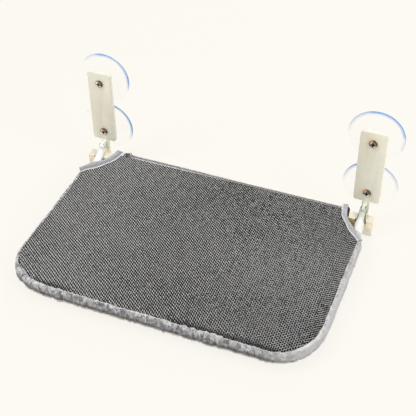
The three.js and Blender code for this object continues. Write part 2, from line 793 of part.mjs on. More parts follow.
function sliderSolid() {
  const span = [sliderStart, sliderStart + sliderLength];
  const clearHalf = chainHalfWidth + seatGap;
  const outerHalf = clearHalf + sliderWall;
  const outerDepth = [zipDistance - outerHalf, zipDistance + outerHalf];
  const plateTop = sliderPlateHeight + sliderWall;
  const mirrored = 2 * zipHeight;
  const whole = box(span, outerDepth, [mirrored - plateTop, plateTop]);
  const channel = box(
    [span[0] - overrun, span[1] + overrun],
    [zipDistance - clearHalf, zipDistance + clearHalf],
    [mirrored - sliderPlateHeight, sliderPlateHeight]);
  const tapeSlot = box(
    [span[0] - overrun, span[1] + overrun],
    [zipDistance - outerHalf - overrun, zipDistance + outerHalf + overrun],
    [zipHeight - tapeThickness / 2 - seatGap, zipHeight + tapeThickness / 2 + seatGap]);
  const postHalf = toothSlit / 2 - seatGap;
  const post = box(
    [sliderMiddle - sliderPostLength / 2, sliderMiddle + sliderPostLength / 2],
    [zipDistance - postHalf, zipDistance + postHalf],
    [mirrored - plateTop, plateTop]);
  const bridgeTop = plateTop + bridgeHeight;
  const bridge = box(
    [sliderMiddle - bridgeLength / 2, sliderMiddle + bridgeLength / 2],
    [zipDistance - bridgeWidth / 2, zipDistance + bridgeWidth / 2],
    [plateTop - sliderWall / 2, bridgeTop]);
  const window = box(
    [sliderMiddle - bridgeLength / 2 + sliderWall, sliderMiddle + bridgeLength / 2 - sliderWall],
    [zipDistance - bridgeWidth, zipDistance + bridgeWidth],
    [plateTop, bridgeTop - sliderWall]);
  return join(cut(whole, channel, tapeSlot), post, cut(bridge, window));
}

function pullRingSolid() {
  const geometry = new THREE.TorusGeometry(ringRadius, ringWireRadius, ringSides, ringSteps);
  const height = sliderPlateHeight + sliderWall + seatGap + ringWireRadius;
  return solidOf(geometry.translate(sliderMiddle + ringRadius, -zipDistance, height));
}

// The object
const hammock = new THREE.Group();

function addPiece(parent, name, solid, pieceMaterial) {
  const mesh = new THREE.Mesh(geometryOf(solid), pieceMaterial);
  mesh.name = name;
  parent.add(mesh);
}

const sides = [['left', -1], ['right', 1]];
const levels = [['lower', -1], ['upper', 1]];

for (const [sideName, side] of sides) {
  const bracket = new THREE.Group();
  bracket.position.x = side * bracketSpacing / 2;
  hammock.add(bracket);
  addPiece(bracket, `${sideName}_window_bracket`, bracketSolid(), ivoryPlastic());
  for (const [levelName, level] of levels) {
    const fixing = new THREE.Group();
    fixing.position.z = level * screwSpacing / 2;
    bracket.add(fixing);
    const place = `${sideName}_${levelName}`;
    addPiece(fixing, `${place}_suction_cup`, suctionCupSolid(), clearVinyl());
    addPiece(fixing, `${place}_threaded_insert`, insertSolid(), brass());
    addPiece(fixing, `${place}_screw`, screwSolid(), nickel());
  }
  addPiece(bracket, `${sideName}_hinge_arm`, armSolid(), whitePlastic());
  addPiece(bracket, `${sideName}_hinge_pin`, pinSolid(), pinSteel());
  addPiece(hammock, `${sideName}_frame_tube`, frameTubeSolid(side), whiteSteel());
  addPiece(hammock, `${sideName}_cutout_binding`, bindingSolid(side), greyBinding());
  addPiece(hammock, `${sideName}_zip_stop`, stopSolid(side), darkNickel());
}

addPiece(hammock, 'frame_joining_spigot', spigotSolid(), whiteSteel());
addPiece(hammock, 'foam_pad', foamPadSolid(), foam());
addPiece(hammock, 'woven_top_panel', wovenPanelSolid(), wovenFabric());
addPiece(hammock, 'plush_under_cover', underCoverSolid(), greyPlush());
addPiece(hammock, 'zip_front_tape', frontTapeSolid(), greyTape());
addPiece(hammock, 'zip_rear_tape', rearTapeSolid(), greyTape());
addPiece(hammock, 'zip_front_teeth', toothRowSolid(1), greyTeeth());
addPiece(hammock, 'zip_rear_teeth', toothRowSolid(-1), greyTeeth());
addPiece(hammock, 'zip_slider', sliderSolid(), darkNickel());
addPiece(hammock, 'zip_pull_ring', pullRingSolid(), darkNickel());

export default hammock;
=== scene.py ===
import json
import math
import random

import bmesh
import bpy
from mathutils import Matrix, Vector, noise

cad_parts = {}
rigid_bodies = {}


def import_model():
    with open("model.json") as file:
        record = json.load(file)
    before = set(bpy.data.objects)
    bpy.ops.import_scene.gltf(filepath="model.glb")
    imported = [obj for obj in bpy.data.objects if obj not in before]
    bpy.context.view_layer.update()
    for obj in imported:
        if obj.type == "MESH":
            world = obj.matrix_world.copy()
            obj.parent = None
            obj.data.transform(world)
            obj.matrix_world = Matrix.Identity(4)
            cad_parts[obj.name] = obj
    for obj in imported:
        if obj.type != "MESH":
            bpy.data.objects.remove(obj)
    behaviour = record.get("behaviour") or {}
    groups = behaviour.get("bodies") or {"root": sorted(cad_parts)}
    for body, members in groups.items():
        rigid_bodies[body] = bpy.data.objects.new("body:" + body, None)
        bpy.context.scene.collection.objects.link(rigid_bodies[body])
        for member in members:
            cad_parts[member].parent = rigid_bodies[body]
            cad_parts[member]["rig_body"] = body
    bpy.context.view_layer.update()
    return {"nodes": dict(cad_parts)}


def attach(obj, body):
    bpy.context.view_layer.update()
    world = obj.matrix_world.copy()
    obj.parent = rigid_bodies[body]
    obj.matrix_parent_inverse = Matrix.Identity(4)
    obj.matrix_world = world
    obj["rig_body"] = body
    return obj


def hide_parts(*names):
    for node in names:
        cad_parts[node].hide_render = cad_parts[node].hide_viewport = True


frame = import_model()

# Cat window hammock. Sizes are in millimetres until a point is placed.
# A distance is measured from the glass into the room, so it is -Y.
mm = 0.001

# Bracket plates, screws and cups
bracket_offset = 218.0
screw_offset = 45.5
plate_distance = 20.0
cup_radius = 42.5
rim_width = 0.8
head_radius = 6.3
head_height = 3.2
recess_span = 6.4
recess_width = 1.5
recess_depth = 1.8
shank_radius = 2.9
screw_tip_distance = 7.9

# Bed layers, their outline and their cut-outs
corner_offset = 168.0
corner_distance = 276.0
cutout_offset = 296.0
cutout_distance = 9.3
cutout_radius = 103.83
left_binding_rear = 20.0
right_binding_rear = 16.5
edge_gather = 3.5
arm_bulge = 3.2
hammock_dip = 4.0
left_slope = 3.5
right_slope = 2.7
rear_distance = 28.0
woven_half_width = 225.25
woven_front = 333.25
woven_inset = 1.3
woven_top = -80.2
woven_thickness = 2.4
cover_half_width = 228.25
cover_front = 336.25
cover_rear = 21.1
cover_top = -95.3
cover_thickness = 3.3
roll_half_width = 3.75
roll_half_height = 8.4
roll_height = -90.2
roll_start = 85.0
stitch_count = 24
foam_half_width = 208.5
foam_front = 317.7
foam_rear = 30.0
foam_inset = 16
foam_top = -84.8
foam_thickness = 8.6
foam_swelling = 1.2

# Zip
zip_distance = 24.3
zip_height = -81.45
zip_half_length = 183.17
tooth_pitch = 1.9
tape_height = -81.15
tape_rib = 0.8
ring_middle = -172.77
ring_height = -78.55


def tone(code):
    """A colour written as six hex digits, as the shader wants it."""
    parts = [int(code[at:at + 2], 16) / 255 for at in (0, 2, 4)]
    return [p / 12.92 if p <= 0.04045 else ((p + 0.055) / 1.055) ** 2.4 for p in parts] + [1]


def at(x, distance, height):
    """A point of the hammock, given in millimetres, in metres."""
    return Vector((x * mm, -distance * mm, height * mm))


def ramp(value, start, end):
    """Rises evenly from 0 at start to 1 at end."""
    return min(max((value - start) / (end - start), 0), 1)


def eased(value, start, end):
    """Rises smoothly from 0 at start to 1 at end."""
    share = ramp(value, start, end)
    return share * share * (3 - 2 * share)


def placed(vert):
    """A vertex's place in millimetres: across, distance and height."""
    return vert.co.x / mm, -vert.co.y / mm, vert.co.z / mm


def add_object(name, data):
    made = bpy.data.objects.new(name, data)
    bpy.context.scene.collection.objects.link(made)
    return made


def as_mesh(bm, name):
    mesh = bpy.data.meshes.new(name)
    bm.to_mesh(mesh)
    bm.free()
    return mesh


def spun(bm, geom, centre, angle, steps, axis=(0, 0, 1), merge=False, shift=(0, 0, 0)):
    """Sweeps a profile round an axis, or along a straight shift."""
    return bmesh.ops.spin(
        bm, geom=geom, cent=centre, axis=axis, dvec=shift, angle=angle, steps=steps,
        use_merge=merge, use_normal_flip=False, use_duplicate=False)["geom_last"]


def chained(bm, points):
    """New vertices at the points, joined in a row by edges."""
    corners = [bm.verts.new(point) for point in points]
    return corners, [bm.edges.new(pair) for pair in zip(corners, corners[1:])]


def vertex_values(bm, *names):
    """New layers that hold a value for each vertex, which the finishes read by name."""
    return [bm.verts.layers.float.new(name) for name in names]


def face_out(bm):
    bmesh.ops.recalc_face_normals(bm, faces=bm.faces)


def face_up(bm):
    """Turns a sheet's faces upwards."""
    face_out(bm)
    if sum(face.normal.z for face in bm.faces) < 0:
        bmesh.ops.reverse_faces(bm, faces=bm.faces)


def rise_over_arm(x, distance):
    """How far the cloth is lifted where the hinge arm and its tube run in under it."""
    across = math.exp(-((abs(x) - bracket_offset) / 11) ** 2)
    return arm_bulge * across * eased(distance, 52, 66) * (1 - eased(distance, 84, 112))


def gathered(distance):
    """How far a cut-out's edge is drawn out towards its bracket."""
    return edge_gather * eased(distance, 42, 64)


def drawn_out(point):
    """A point at a cut-out's edge, moved with the drawn-out cloth."""
    x, distance = point.x / mm, -point.y / mm
    centre = at(math.copysign(cutout_offset, x), cutout_distance, 0)
    inwards = Vector((point.x - centre.x, point.y - centre.y, 0)).normalized()
    lift = Vector((0, 0, rise_over_arm(x, distance) * mm))
    return point - inwards * gathered(distance) * mm + lift


# Camera, at the photograph's angle
def aim_camera():
    camera = add_object("photo_camera", bpy.data.cameras.new("photo_camera"))
    camera.data.lens = 81.05
    turn = Matrix.Rotation(math.radians(22.16448), 4, "Z")
    tilt = Matrix.Rotation(math.radians(90 - 41.012), 4, "X")
    roll = Matrix.Rotation(math.radians(-0.81661), 4, "Z")
    camera.matrix_world = Matrix.Translation((0.40038, -1.0960, 0.85535)) @ turn @ tilt @ roll
    bpy.context.scene.camera = camera


# Room: pale floor, pale surroundings and soft lamps
pale_room = "fbf8f1"


def join(tree, source, target):
    """Fills a node's input with a value, a colour code, a signal or a node's first output."""
    source = getattr(source, "socket", source)
    if isinstance(source, str):
        source = tone(source)
    if isinstance(source, bpy.types.Node):
        source = source.outputs[0]
    if isinstance(source, bpy.types.NodeSocket):
        tree.links.new(source, target)
    else:
        target.default_value = source


def add_node(tree, kind, *sources, named=(), **settings):
    """A shader node with its settings made and its inputs filled, in order or by name."""
    step = tree.nodes.new("ShaderNode" + kind)
    for name, value in settings.items():
        setattr(step, name, value)
    for source, target in zip(sources, step.inputs):
        join(tree, source, target)
    for name, source in dict(named).items():
        join(tree, source, step.inputs[name])
    return step


def seen_rays(tree):
    """1 for what the camera sees directly, in a gloss or through clear vinyl."""
    path = add_node(tree, "LightPath")
    seen = path.outputs["Is Camera Ray"]
    for ray in ("Is Glossy Ray", "Is Transmission Ray"):
        seen = add_node(tree, "Math", seen, path.outputs[ray], operation="MAXIMUM").outputs[0]
    return seen


def light_room():
    world = bpy.data.worlds.new("pale_room")
    world.use_nodes = True
    bpy.context.scene.world = world
    tree = world.node_tree
    daylight = tree.nodes["Background"]
    join(tree, "fdfcfa", daylight.inputs["Color"])
    join(tree, 0.50, daylight.inputs["Strength"])
    choice = add_node(
        tree, "MixShader", seen_rays(tree), daylight, add_node(tree, "Background", pale_room, 1.0))
    join(tree, choice, tree.nodes["World Output"].inputs["Surface"])

    for name, place, power, size in (
        ("softbox_left", (-1.3, -1.2, 1.9), 27, 1.1),
        ("softbox_right", (1.9, -0.7, 1.3), 24, 1.2),
        ("softbox_window", (0.2, 1.3, 1.0), 7, 1.2),
        ("softbox_top", (0.1, 0.1, 2.3), 11, 1.3),
    ):
        lamp = bpy.data.lights.new(name, "AREA")
        lamp.energy = power
        lamp.size = size
        stand = add_object(name, lamp)
        stand.location = place
        stand.rotation_euler = (-Vector(place)).to_track_quat("-Z", "Y").to_euler()


def lay_floor():
    bm = bmesh.new()
    bmesh.ops.create_grid(bm, x_segments=1, y_segments=1, size=4.0)
    bmesh.ops.translate(bm, verts=bm.verts, vec=(0, 0, -0.1115))
    floor = add_object("pale_floor", as_mesh(bm, "pale_floor"))
    paint = bpy.data.materials.new("pale_floor")
    paint.use_nodes = True
    tree = paint.node_tree
    tree.nodes.remove(tree.nodes["Principled BSDF"])
    glow_share = add_node(tree, "Math", seen_rays(tree), 0.9, operation="MULTIPLY")
    matt = add_node(tree, "BsdfDiffuse", "f4f0e8")
    top = add_node(tree, "MixShader", glow_share, matt, add_node(tree, "Emission", pale_room))
    from_below = add_node(tree, "NewGeometry").outputs["Backfacing"]
    both = add_node(tree, "MixShader", from_below, top, add_node(tree, "BsdfTransparent"))
    join(tree, both, tree.nodes["Material Output"].inputs["Surface"])
    floor.data.materials.append(paint)


# Finishes
def summed(operation):
    """A way to write a Math node as an operator between signals."""
    return lambda signal, *others: signal.skin.sum(operation, signal, *others)


class Signal:
    """A node's output, which takes part in sums like a number."""
    __add__, __sub__, __mul__ = summed("ADD"), summed("SUBTRACT"), summed("MULTIPLY")
    __pow__, __abs__ = summed("POWER"), summed("ABSOLUTE")

    def __init__(self, skin, socket):
        self.skin, self.socket = skin, socket

    def __rsub__(self, other):
        return self.skin.sum("SUBTRACT", other, self)


class Finish:
    """A material under construction, and the few node moves that the finishes share."""

    def __init__(self, name, roughness=0.5, **plain_values):
        self.material = bpy.data.materials.new(name)
        self.material.use_nodes = True
        self.tree = self.material.node_tree
        self.fill("Roughness", roughness)
        for socket, value in plain_values.items():
            self.fill(socket.replace("_", " "), value)
        self.place = self.node("TexCoord", output="Object")

    def fill(self, name, value):
        """Fills an input of the surface shader."""
        join(self.tree, value, self.tree.nodes["Principled BSDF"].inputs[name])

    def node(self, kind, *sources, output=0, **settings):
        return Signal(self, add_node(self.tree, kind, *sources, **settings).outputs[output])

    def sum(self, operation, *values):
        return self.node("Math", *values, operation=operation)

    def range(self, value, low, high, new_low=0.0, new_high=1.0):
        return self.node("MapRange", value, low, high, new_low, new_high)

    def speckle(self, scale, detail=2.0, roughness=0.5, place=None):
        return self.node("TexNoise", output="Fac", named={
            "Vector": place or self.place, "Scale": scale, "Detail": detail,
            "Roughness": roughness})

    def mottle(self, scale, detail, low, high, new_low=0.0, new_high=1.0):
        """Soft patches: a speckle with its middle values spread out."""
        return self.range(self.speckle(scale, detail), low, high, new_low, new_high)

    def strands(self, detail, roughness, *stretch):
        """A speckle drawn out into threads, by how fine it is along x, y and z."""
        place = self.node("Mapping", named={"Vector": self.place, "Scale": stretch})
        return self.speckle(1.0, detail, roughness, place)

    def blend(self, share, first, second):
        """A colour between two others."""
        step = add_node(self.tree, "Mix", data_type="RGBA")
        for source, number in ((share, 0), (first, 6), (second, 7)):
            join(self.tree, source, step.inputs[number])
        return Signal(self, step.outputs[2])

    def axes(self, vector=None):
        """A vector's three parts, or those of the surface's own coordinates."""
        step = add_node(self.tree, "SeparateXYZ", vector or self.place)
        return [Signal(self, part) for part in step.outputs]

    def attribute(self, name, output="Fac"):
        return self.node("Attribute", attribute_name=name, output=output)

    def made(self, colour, height, depth, rough=None):
        """The material: its colour, its bump, where depth is the height in metres of a
        value of 1, and the scale, detail and two limits of a roughness that varies."""
        self.fill("Base Color", colour)
        if rough:
            scale, detail, *limits = rough
            self.fill("Roughness", self.mottle(scale, detail, 0.3, 0.7, *limits))
        self.fill("Normal", self.node(
            "Bump", named={"Strength": 1.0, "Distance": depth, "Height": height}))
        return self.material


def ivory_plastic():
    """Ivory with cool clouds, a painted highlight that keeps the left neck near white, painted
    amber shade on the saddle's front edge and beside the arm, and painted dark shadow in the slot
    beside the arm.
    """
    skin = Finish("moulded_ivory_plastic", Subsurface_Weight=0.06, Subsurface_Scale=0.003)
    skin.fill("Subsurface Radius", (1.0, 0.8, 0.5))
    x, y, z = skin.axes()
    right = skin.range(x, 0.0, 0.001)
    warm = skin.blend(skin.mottle(26, 3, 0.35, 0.65), "e3decb", "e9e5d4")
    plate = skin.blend(skin.mottle(60, 2, 0.45, 0.75) * 0.75, warm, "dbe1d4")
    # Painted highlight: the left neck near white, the right one pale green.
    neck = skin.blend(right, "fbfaf5", "e0e4d3")
    shell = skin.blend(skin.range(z, -0.0625, -0.0638), plate, neck)
    shell = skin.blend(skin.range(z, -0.0650, -0.0664), shell, "e0e4d4")
    foot = skin.blend(skin.range(z, -0.084, -0.104), "f3ead0", "f6f0e8")
    saddle = skin.blend(skin.range(z, -0.0796, -0.0800), "dfdac8", foot)
    block = skin.blend(skin.range(z, -0.0780, -0.0794), shell, saddle)
    # Painted amber shade along the saddle's front edge and on its face beside the arm, weaker on
    # the left.
    line = skin.range(z, -0.0852, -0.0828) * skin.range(z, -0.0798, -0.0803)
    inner = skin.range(abs(x), 0.2115, 0.2085)
    face = inner * skin.range(z, -0.0798, -0.0806, 0.0, 0.9)
    amber = skin.sum("MAXIMUM", line, face) * skin.range(y, -0.0440, -0.0448)
    amber = amber * skin.range(right, 0.0, 1.0, 0.6, 1.0)
    patch = skin.mottle(150, 2, 0.3, 0.6, 0.6, 1.0)
    amber_shaded = skin.blend(amber * patch, block, skin.blend(inner, "dfcd9a", "c3a566"))
    # Painted dark shadow in the slot's gaps beside the arm, lighter on the left.
    beside_arm = abs(abs(x) - bracket_offset * mm)
    slot = skin.range(beside_arm, 0.0086, 0.0083) * skin.range(z, -0.0797, -0.0802)
    slot = slot * skin.range(y, -0.0305, -0.0315) * skin.range(z, -0.0865, -0.0835)
    ivory = skin.blend(slot, amber_shaded, skin.blend(right, "a39b85", "3f3930"))
    return skin.made(ivory, skin.speckle(900), 0.00008, rough=(180, 2, 0.34, 0.46))


def clear_vinyl():
    """Clear soft vinyl with a painted blue glint in parts of the rim."""
    skin = Finish("clear_suction_vinyl", 0.08, IOR=1.5)
    caught = skin.attribute("caught_light")
    haze = skin.mottle(45, 2, 0.3, 0.7, 0.0, 0.02)
    edge_on = skin.node("LayerWeight", 0.35, output="Facing")
    film = edge_on ** 3.0 * 0.22 + haze + 0.01
    skin.fill("Alpha", skin.sum("MAXIMUM", film, skin.range(caught, 0.0, 0.9, 0.0, 0.95)))
    glint = skin.blend(caught, "b4bfee", "229be6")
    vinyl = skin.blend(skin.range(caught, 0.0, 0.12), "f2f7fa", glint)
    return skin.made(vinyl, skin.speckle(140), 0.0002, rough=(120, 2, 0.05, 0.14))


def plated_screw():
    """Nickel plate, worn to brown brass round the rim, with a black cross in the middle. A painted
    highlight lies towards the lower left and painted darker reflection on the other side and the
    rim; the black cross is painted shade in the recess.
    """
    skin = Finish("nickel_plated_screw", 0.2, Metallic=0.7)
    sideways, _, upwards = skin.axes(skin.attribute("from_axis", "Vector"))
    across, up = abs(sideways), abs(upwards)
    radius = (across * across + up * up) ** 0.5
    narrow = skin.range(skin.sum("MINIMUM", across, up), 1.5, 1.0)
    short = skin.range(skin.sum("MAXIMUM", across, up), 3.7, 3.1)
    worn = radius + skin.range(skin.speckle(420, 3, 0.6), 0.42, 0.6, -0.9, 0.9)
    # Painted highlight towards the lower left, painted darker reflection towards the upper right.
    lit = skin.range(0.0 - (sideways + upwards), -6.0, -1.0)
    crown = skin.blend(lit, "7c6a54", "fbf7ee")
    # The rim: partly worn brown brass, partly painted darker reflection, lighter where the painted
    # highlight falls.
    rim = skin.blend(skin.range(worn, 4.0, 5.0), crown, skin.blend(lit, "5d4226", "a98252"))
    # The cross recess painted black as shade.
    head = skin.blend(narrow * short, rim, "0d0a08")
    return skin.made(head, skin.speckle(1100, 3), 0.00005, rough=(900, 3, 0.14, 0.34))


def plated_metal(name, bright, dull, roughness):
    skin = Finish(name, roughness, Metallic=1.0)
    metal = skin.blend(skin.range(skin.speckle(520, 4, 0.6), 0.4, 0.7), bright, dull)
    return skin.made(
        metal, skin.speckle(900, 3), 0.00004, rough=(800, 3, roughness, roughness + 0.18))


def white_plastic():
    """White arms with painted shade near the hinge, a painted dark shadow line round their tips and
    a painted highlight on the left arm.
    """
    skin = Finish("moulded_white_plastic", Subsurface_Weight=0.08, Subsurface_Scale=0.006)
    x, y, z = skin.axes()
    white = skin.blend(skin.mottle(70, 3, 0.4, 0.7), "e9eae6", "dfe1db")
    # Painted shade: greyer near the hinge.
    arm = skin.blend(skin.range(y, -0.050, -0.042), white, "c3c7b8")
    beside = abs(abs(x) - bracket_offset * mm)
    # Painted shadow line beside the right arm and round the tips, lighter on the left.
    rim = skin.range(beside, 0.0042, 0.0048) * skin.range(y, -0.050, -0.043)
    rim = rim * skin.range(x, 0.0, 0.001) * skin.range(z, -0.0652, -0.0668)
    outline = skin.sum("MAXIMUM", rim, skin.range(z, -0.0646, -0.0638))
    # Painted highlight: the left arm paler.
    pale_left = skin.range(x, 0.001, 0.0)
    arm = skin.blend(pale_left * 0.7, arm, "fbfbf8")
    arm = skin.blend(outline, arm, skin.blend(pale_left, "6b6d66", "c9cac4"))
    return skin.made(arm, skin.speckle(1100), 0.00006, rough=(240, 2, 0.26, 0.4))


def coated_tube():
    skin = Finish("white_powder_coat", 0.4, Coat_Weight=0.2)
    coat = skin.blend(skin.mottle(40, 3, 0.4, 0.7), "e9eae7", "dfe0dc")
    return skin.made(coat, skin.speckle(1500), 0.00012, rough=(300, 2, 0.34, 0.5))


def pad_foam():
    skin = Finish("open_cell_foam", 0.95)
    cells = skin.node("TexVoronoi", output="Distance", named={"Vector": skin.place, "Scale": 900})
    pores = skin.range(cells, 0.0, 0.7)
    base = skin.blend(skin.speckle(30, 3), "dcdcd5", "cfcfc6")
    return skin.made(skin.blend(pores * 0.35, base, "f0efe8"), pores, 0.0004)


def woven_cloth():
    """Plain weave of dark and light yarns: three waves that meet at each light float.
    The cloth leans and tightens a little towards the glass. Its slanted ribs stand out
    more on the left, the single floats more on the right."""
    skin = Finish("charcoal_and_white_weave", 0.9, Sheen_Weight=0.03, Specular_IOR_Level=0.1)
    across, along, _ = skin.axes()
    x, y = across * 1000.0, along * 1000.0
    squares = (x * x, x * y, y * y)

    def turns(along_x, along_y, *bends):
        """An angle that grows over the cloth, and a little faster where it bends."""
        total = x * along_x + y * along_y
        for square, bend in zip(squares, bends):
            total = total + square * bend
        return total * math.tau

    pulled = skin.mottle(42, 1, 0.3, 0.7, -1.1, 1.1)
    slanted = pulled + turns(0.1570, 0.2428, 0.0000028, 0.0000085, 0.0000279)
    upright = turns(0.3234, -0.0016, 0.0000062, -0.0000145, -0.0000269)
    to_right = skin.range(across, -0.15, 0.16)
    near_glass = skin.range(along, -0.17, -0.09)
    by_edge = skin.range(across, 0.206, 0.218)
    ribs = skin.sum("COSINE", slanted) * skin.range(to_right, 0.0, 1.0, 1.15, 0.9)
    cross_ribs = skin.sum("COSINE", upright) * skin.range(near_glass, 0.0, 1.0, 1.0, 0.8)
    towards_front = skin.range(along, -0.22, -0.30, 0.0, -0.4)
    rightwards = skin.range(to_right, 0.35, 1.0, 0.0, -0.95)
    hollows = skin.sum("MINIMUM", towards_front, rightwards) + by_edge * -0.3
    counter = skin.sum("COSINE", upright - slanted)
    weave_height = (ribs + cross_ribs) * (1.0 - by_edge * 0.4) + counter * hollows
    slack = skin.mottle(85, 2, 0.35, 0.65, 0.9, 1.08)
    uneven = skin.mottle(560, 2, 0.3, 0.7, -0.72, 0.72) + skin.mottle(190, 2, 0.3, 0.7, -0.1, 0.1)
    uneven = uneven + skin.range(along, -0.20, -0.28, 0.0, -0.17)
    # Painted shade: darker to the right, as if lit from the left.
    darker_right = to_right * skin.range(near_glass, 0.0, 1.0, -0.13, -0.24)
    floats = weave_height * slack + (uneven + darker_right)
    light_strands = skin.strands(3, 0.6, 3200, 500, 400)
    dark_strands = skin.strands(3, 0.6, 500, 3200, 400)
    light_yarn = skin.blend(skin.range(light_strands, 0.35, 0.7), "949493", "d8d7d5")
    # Painted shade: the light yarn darker to the right.
    light_yarn = skin.blend(to_right * 0.33, light_yarn, "6f6f6e")
    dark_yarn = skin.blend(skin.range(dark_strands, 0.35, 0.7), "0b0b0c", "222224")
    yarns = skin.blend(skin.range(floats, 0.3, 0.75), dark_yarn, light_yarn)
    # Random paler patches, and a painted light that makes the left side paler.
    patches_and_left_light = skin.mottle(11, 2, 0.35, 0.65, 0.0, 0.06) + skin.range(across, -0.02, -0.2, 0.0, 0.05)
    patched_and_lit = skin.blend(patches_and_left_light, yarns, "b4b4b2")
    # Painted shade in the open gaps between the yarns.
    open_weave = skin.blend(skin.range(floats, -0.5, -1.6), patched_and_lit, "070708")
    # The seam values are a painted shadow line along the front and left edges.
    cloth = skin.blend(skin.attribute("seam") * 0.7, open_weave, "0e0e0f")
    return skin.made(cloth, floats + (light_strands + dark_strands) * 0.4, 0.00018)


def grey_plush():
    """Short pile in clumps: pale tips, darker between them, with painted brown shade below, the
    right side painted paler with painted highlights on its outward faces, and a painted pale hem
    and inner top line.
    """
    skin = Finish("light_grey_plush", 1.0, Sheen_Weight=0.6, Sheen_Roughness=0.35)
    skin.fill("Sheen Tint", "fafafe")
    clumps = skin.range(skin.speckle(150, 2, 0.6), 0.44, 0.58)
    hairs = skin.range(skin.strands(3, 0.65, 420, 260, 130), 0.43, 0.57)
    shade = clumps * 0.6 + hairs * 0.5
    roots = skin.blend(shade, "e6e5e8", "716e72")
    ends = skin.blend(shade, "ffffff", "9b999e")
    pile = skin.blend(skin.range(skin.attribute("pile"), 0.0, 1.0), roots, ends)
    soft = skin.range(skin.speckle(190, 4, 0.65), 0.4, 0.62)
    # Painted light: the right side band paler, most on its outward faces.
    brushing_and_side_light = skin.blend(soft, "ebe9ea", "a9a6aa")
    brushing_and_side_light = skin.blend(skin.attribute("outer") * 0.55, brushing_and_side_light, "f6f3f6")
    side = skin.blend(skin.range(skin.attribute("brushing_and_side_light"), 0.0, 1.0), pile, brushing_and_side_light)
    # Painted brown shade on the lower front and the left outer side.
    shaded = skin.blend(skin.range(skin.attribute("under"), 0.0, 1.0), side, "4f4a49")
    # Painted pale hem below the front and painted highlight along the inner top edge.
    plush = skin.blend(skin.attribute("hem"), shaded, "fdf9f2")
    return skin.made(plush, shade + skin.speckle(1500, 3, 0.7), 0.0007)


def plush_cloth():
    """The same plush where it lies flat."""
    skin = Finish("brushed_grey_plush", 1.0, Sheen_Weight=0.5, Sheen_Roughness=0.5)
    fibres = skin.strands(4, 0.7, 900, 420, 900)
    clumps = skin.range(skin.speckle(260, 3, 0.6), 0.35, 0.68)
    base = skin.blend(clumps, "c9c9cf", "aaa9af")
    brushing_and_side_light = skin.blend(skin.mottle(22, 3, 0.35, 0.7) * 0.5, base, "b2afae")
    plush = skin.blend(skin.range(fibres, 0.4, 0.75), brushing_and_side_light, "dcdce2")
    return skin.made(plush, fibres + clumps, 0.0009)


def ribbed_tape(name, light, dark, along_right):
    """Woven tape with fine ribs, another tone where the weave's edge lies over it."""
    skin = Finish(name, 0.85, Sheen_Weight=0.2, Sheen_Roughness=0.5)
    x, y, _ = skin.axes()
    per_metre = math.pi / (tape_rib * mm)
    across, along = skin.sum("SINE", x * per_metre), skin.sum("SINE", y * per_metre)
    ribbing = skin.range(across * along, -0.7, 0.7)
    flecks = skin.range(skin.speckle(260, 3, 0.65), 0.4, 0.62)
    tape = skin.blend(ribbing * 0.4 + flecks * 0.6, light, dark)
    left_end = skin.range(x, -0.158, -0.168, 0.0, 0.8)
    tape = skin.blend(left_end, tape, skin.blend(flecks, "8f8f92", "4b4b4d"))
    tape = skin.blend(skin.range(x, -0.09, 0.01), tape, along_right)
    return skin.made(tape, ribbing + skin.speckle(1800), 0.00018)


def folded_tape():
    """Binding tape: pale folds, a bright inner edge and a dip between them painted with shade."""
    skin = Finish("grey_binding_tape", 0.85, Sheen_Weight=0.2, Sheen_Roughness=0.5)
    x, y, _ = skin.axes()
    ribs = skin.sum("SINE", (x + y) * 2600.0)
    cloudy = skin.mottle(170, 3, 0.35, 0.7)
    worn = skin.range(ribs, -1.0, 1.0, 0.0, 0.35) + cloudy * 0.6
    fold = skin.blend(worn, "c3c2c5", "939296")
    dipped = skin.blend(skin.attribute("dip"), fold, "7c7b80")
    tape = skin.blend(skin.attribute("bright_edge"), dipped, "f6f6f9")
    return skin.made(tape, ribs + skin.speckle(1800), 0.00015)


def sewing_thread():
    skin = Finish("pale_sewing_thread", 0.7, Sheen_Weight=0.3)
    twist = skin.strands(2, 0.5, 2600, 2600, 2600)
    thread = skin.blend(skin.range(twist, 0.35, 0.65), "d9d9df", "f2f2f6")
    return skin.made(thread, twist, 0.0001)


def pocket_shade_cloth():
    # Near-black cloth: painted shade for the inside of the pockets.
    skin = Finish("dark_pocket_lining", 0.95, Sheen_Weight=0.1)
    ribs = skin.strands(2, 0.5, 1800, 1800, 700)
    return skin.made(
        skin.blend(skin.range(ribs, 0.35, 0.7), "101011", "29282b"), ribs, 0.0002)


def moulded_teeth(name, light, dark, along_right):
    skin = Finish(name, 0.45)
    flecked = skin.blend(skin.mottle(330, 2, 0.4, 0.62), light, dark)
    teeth = skin.blend(skin.range(skin.axes()[0], -0.09, 0.01), flecked, along_right)
    return skin.made(teeth, skin.speckle(2000), 0.00005, rough=(900, 2, 0.35, 0.55))


# Making and dressing pieces
def make_piece(bm, name, material, body, smooth_to=40):
    piece = add_object(name, as_mesh(bm, name))
    piece.data.materials.append(material)
    piece.data.shade_smooth()
    piece.data.set_sharp_from_angle(angle=math.radians(smooth_to))
    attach(piece, body)
    return piece


def modify(piece, name, kind, **settings):
    step = piece.modifiers.new(name, kind)
    for setting, value in settings.items():
        setattr(step, setting, value)


def keep_shape(piece):
    """Makes the modifiers' result the piece's own mesh."""
    made = bpy.data.meshes.new_from_object(
        piece.evaluated_get(bpy.context.evaluated_depsgraph_get()))
    piece.modifiers.clear()
    piece.data = made


def thicken(piece, thickness, offset=-1, even=False):
    modify(
        piece, "cloth_thickness", "SOLIDIFY", thickness=thickness * mm, offset=offset,
        use_even_offset=even)


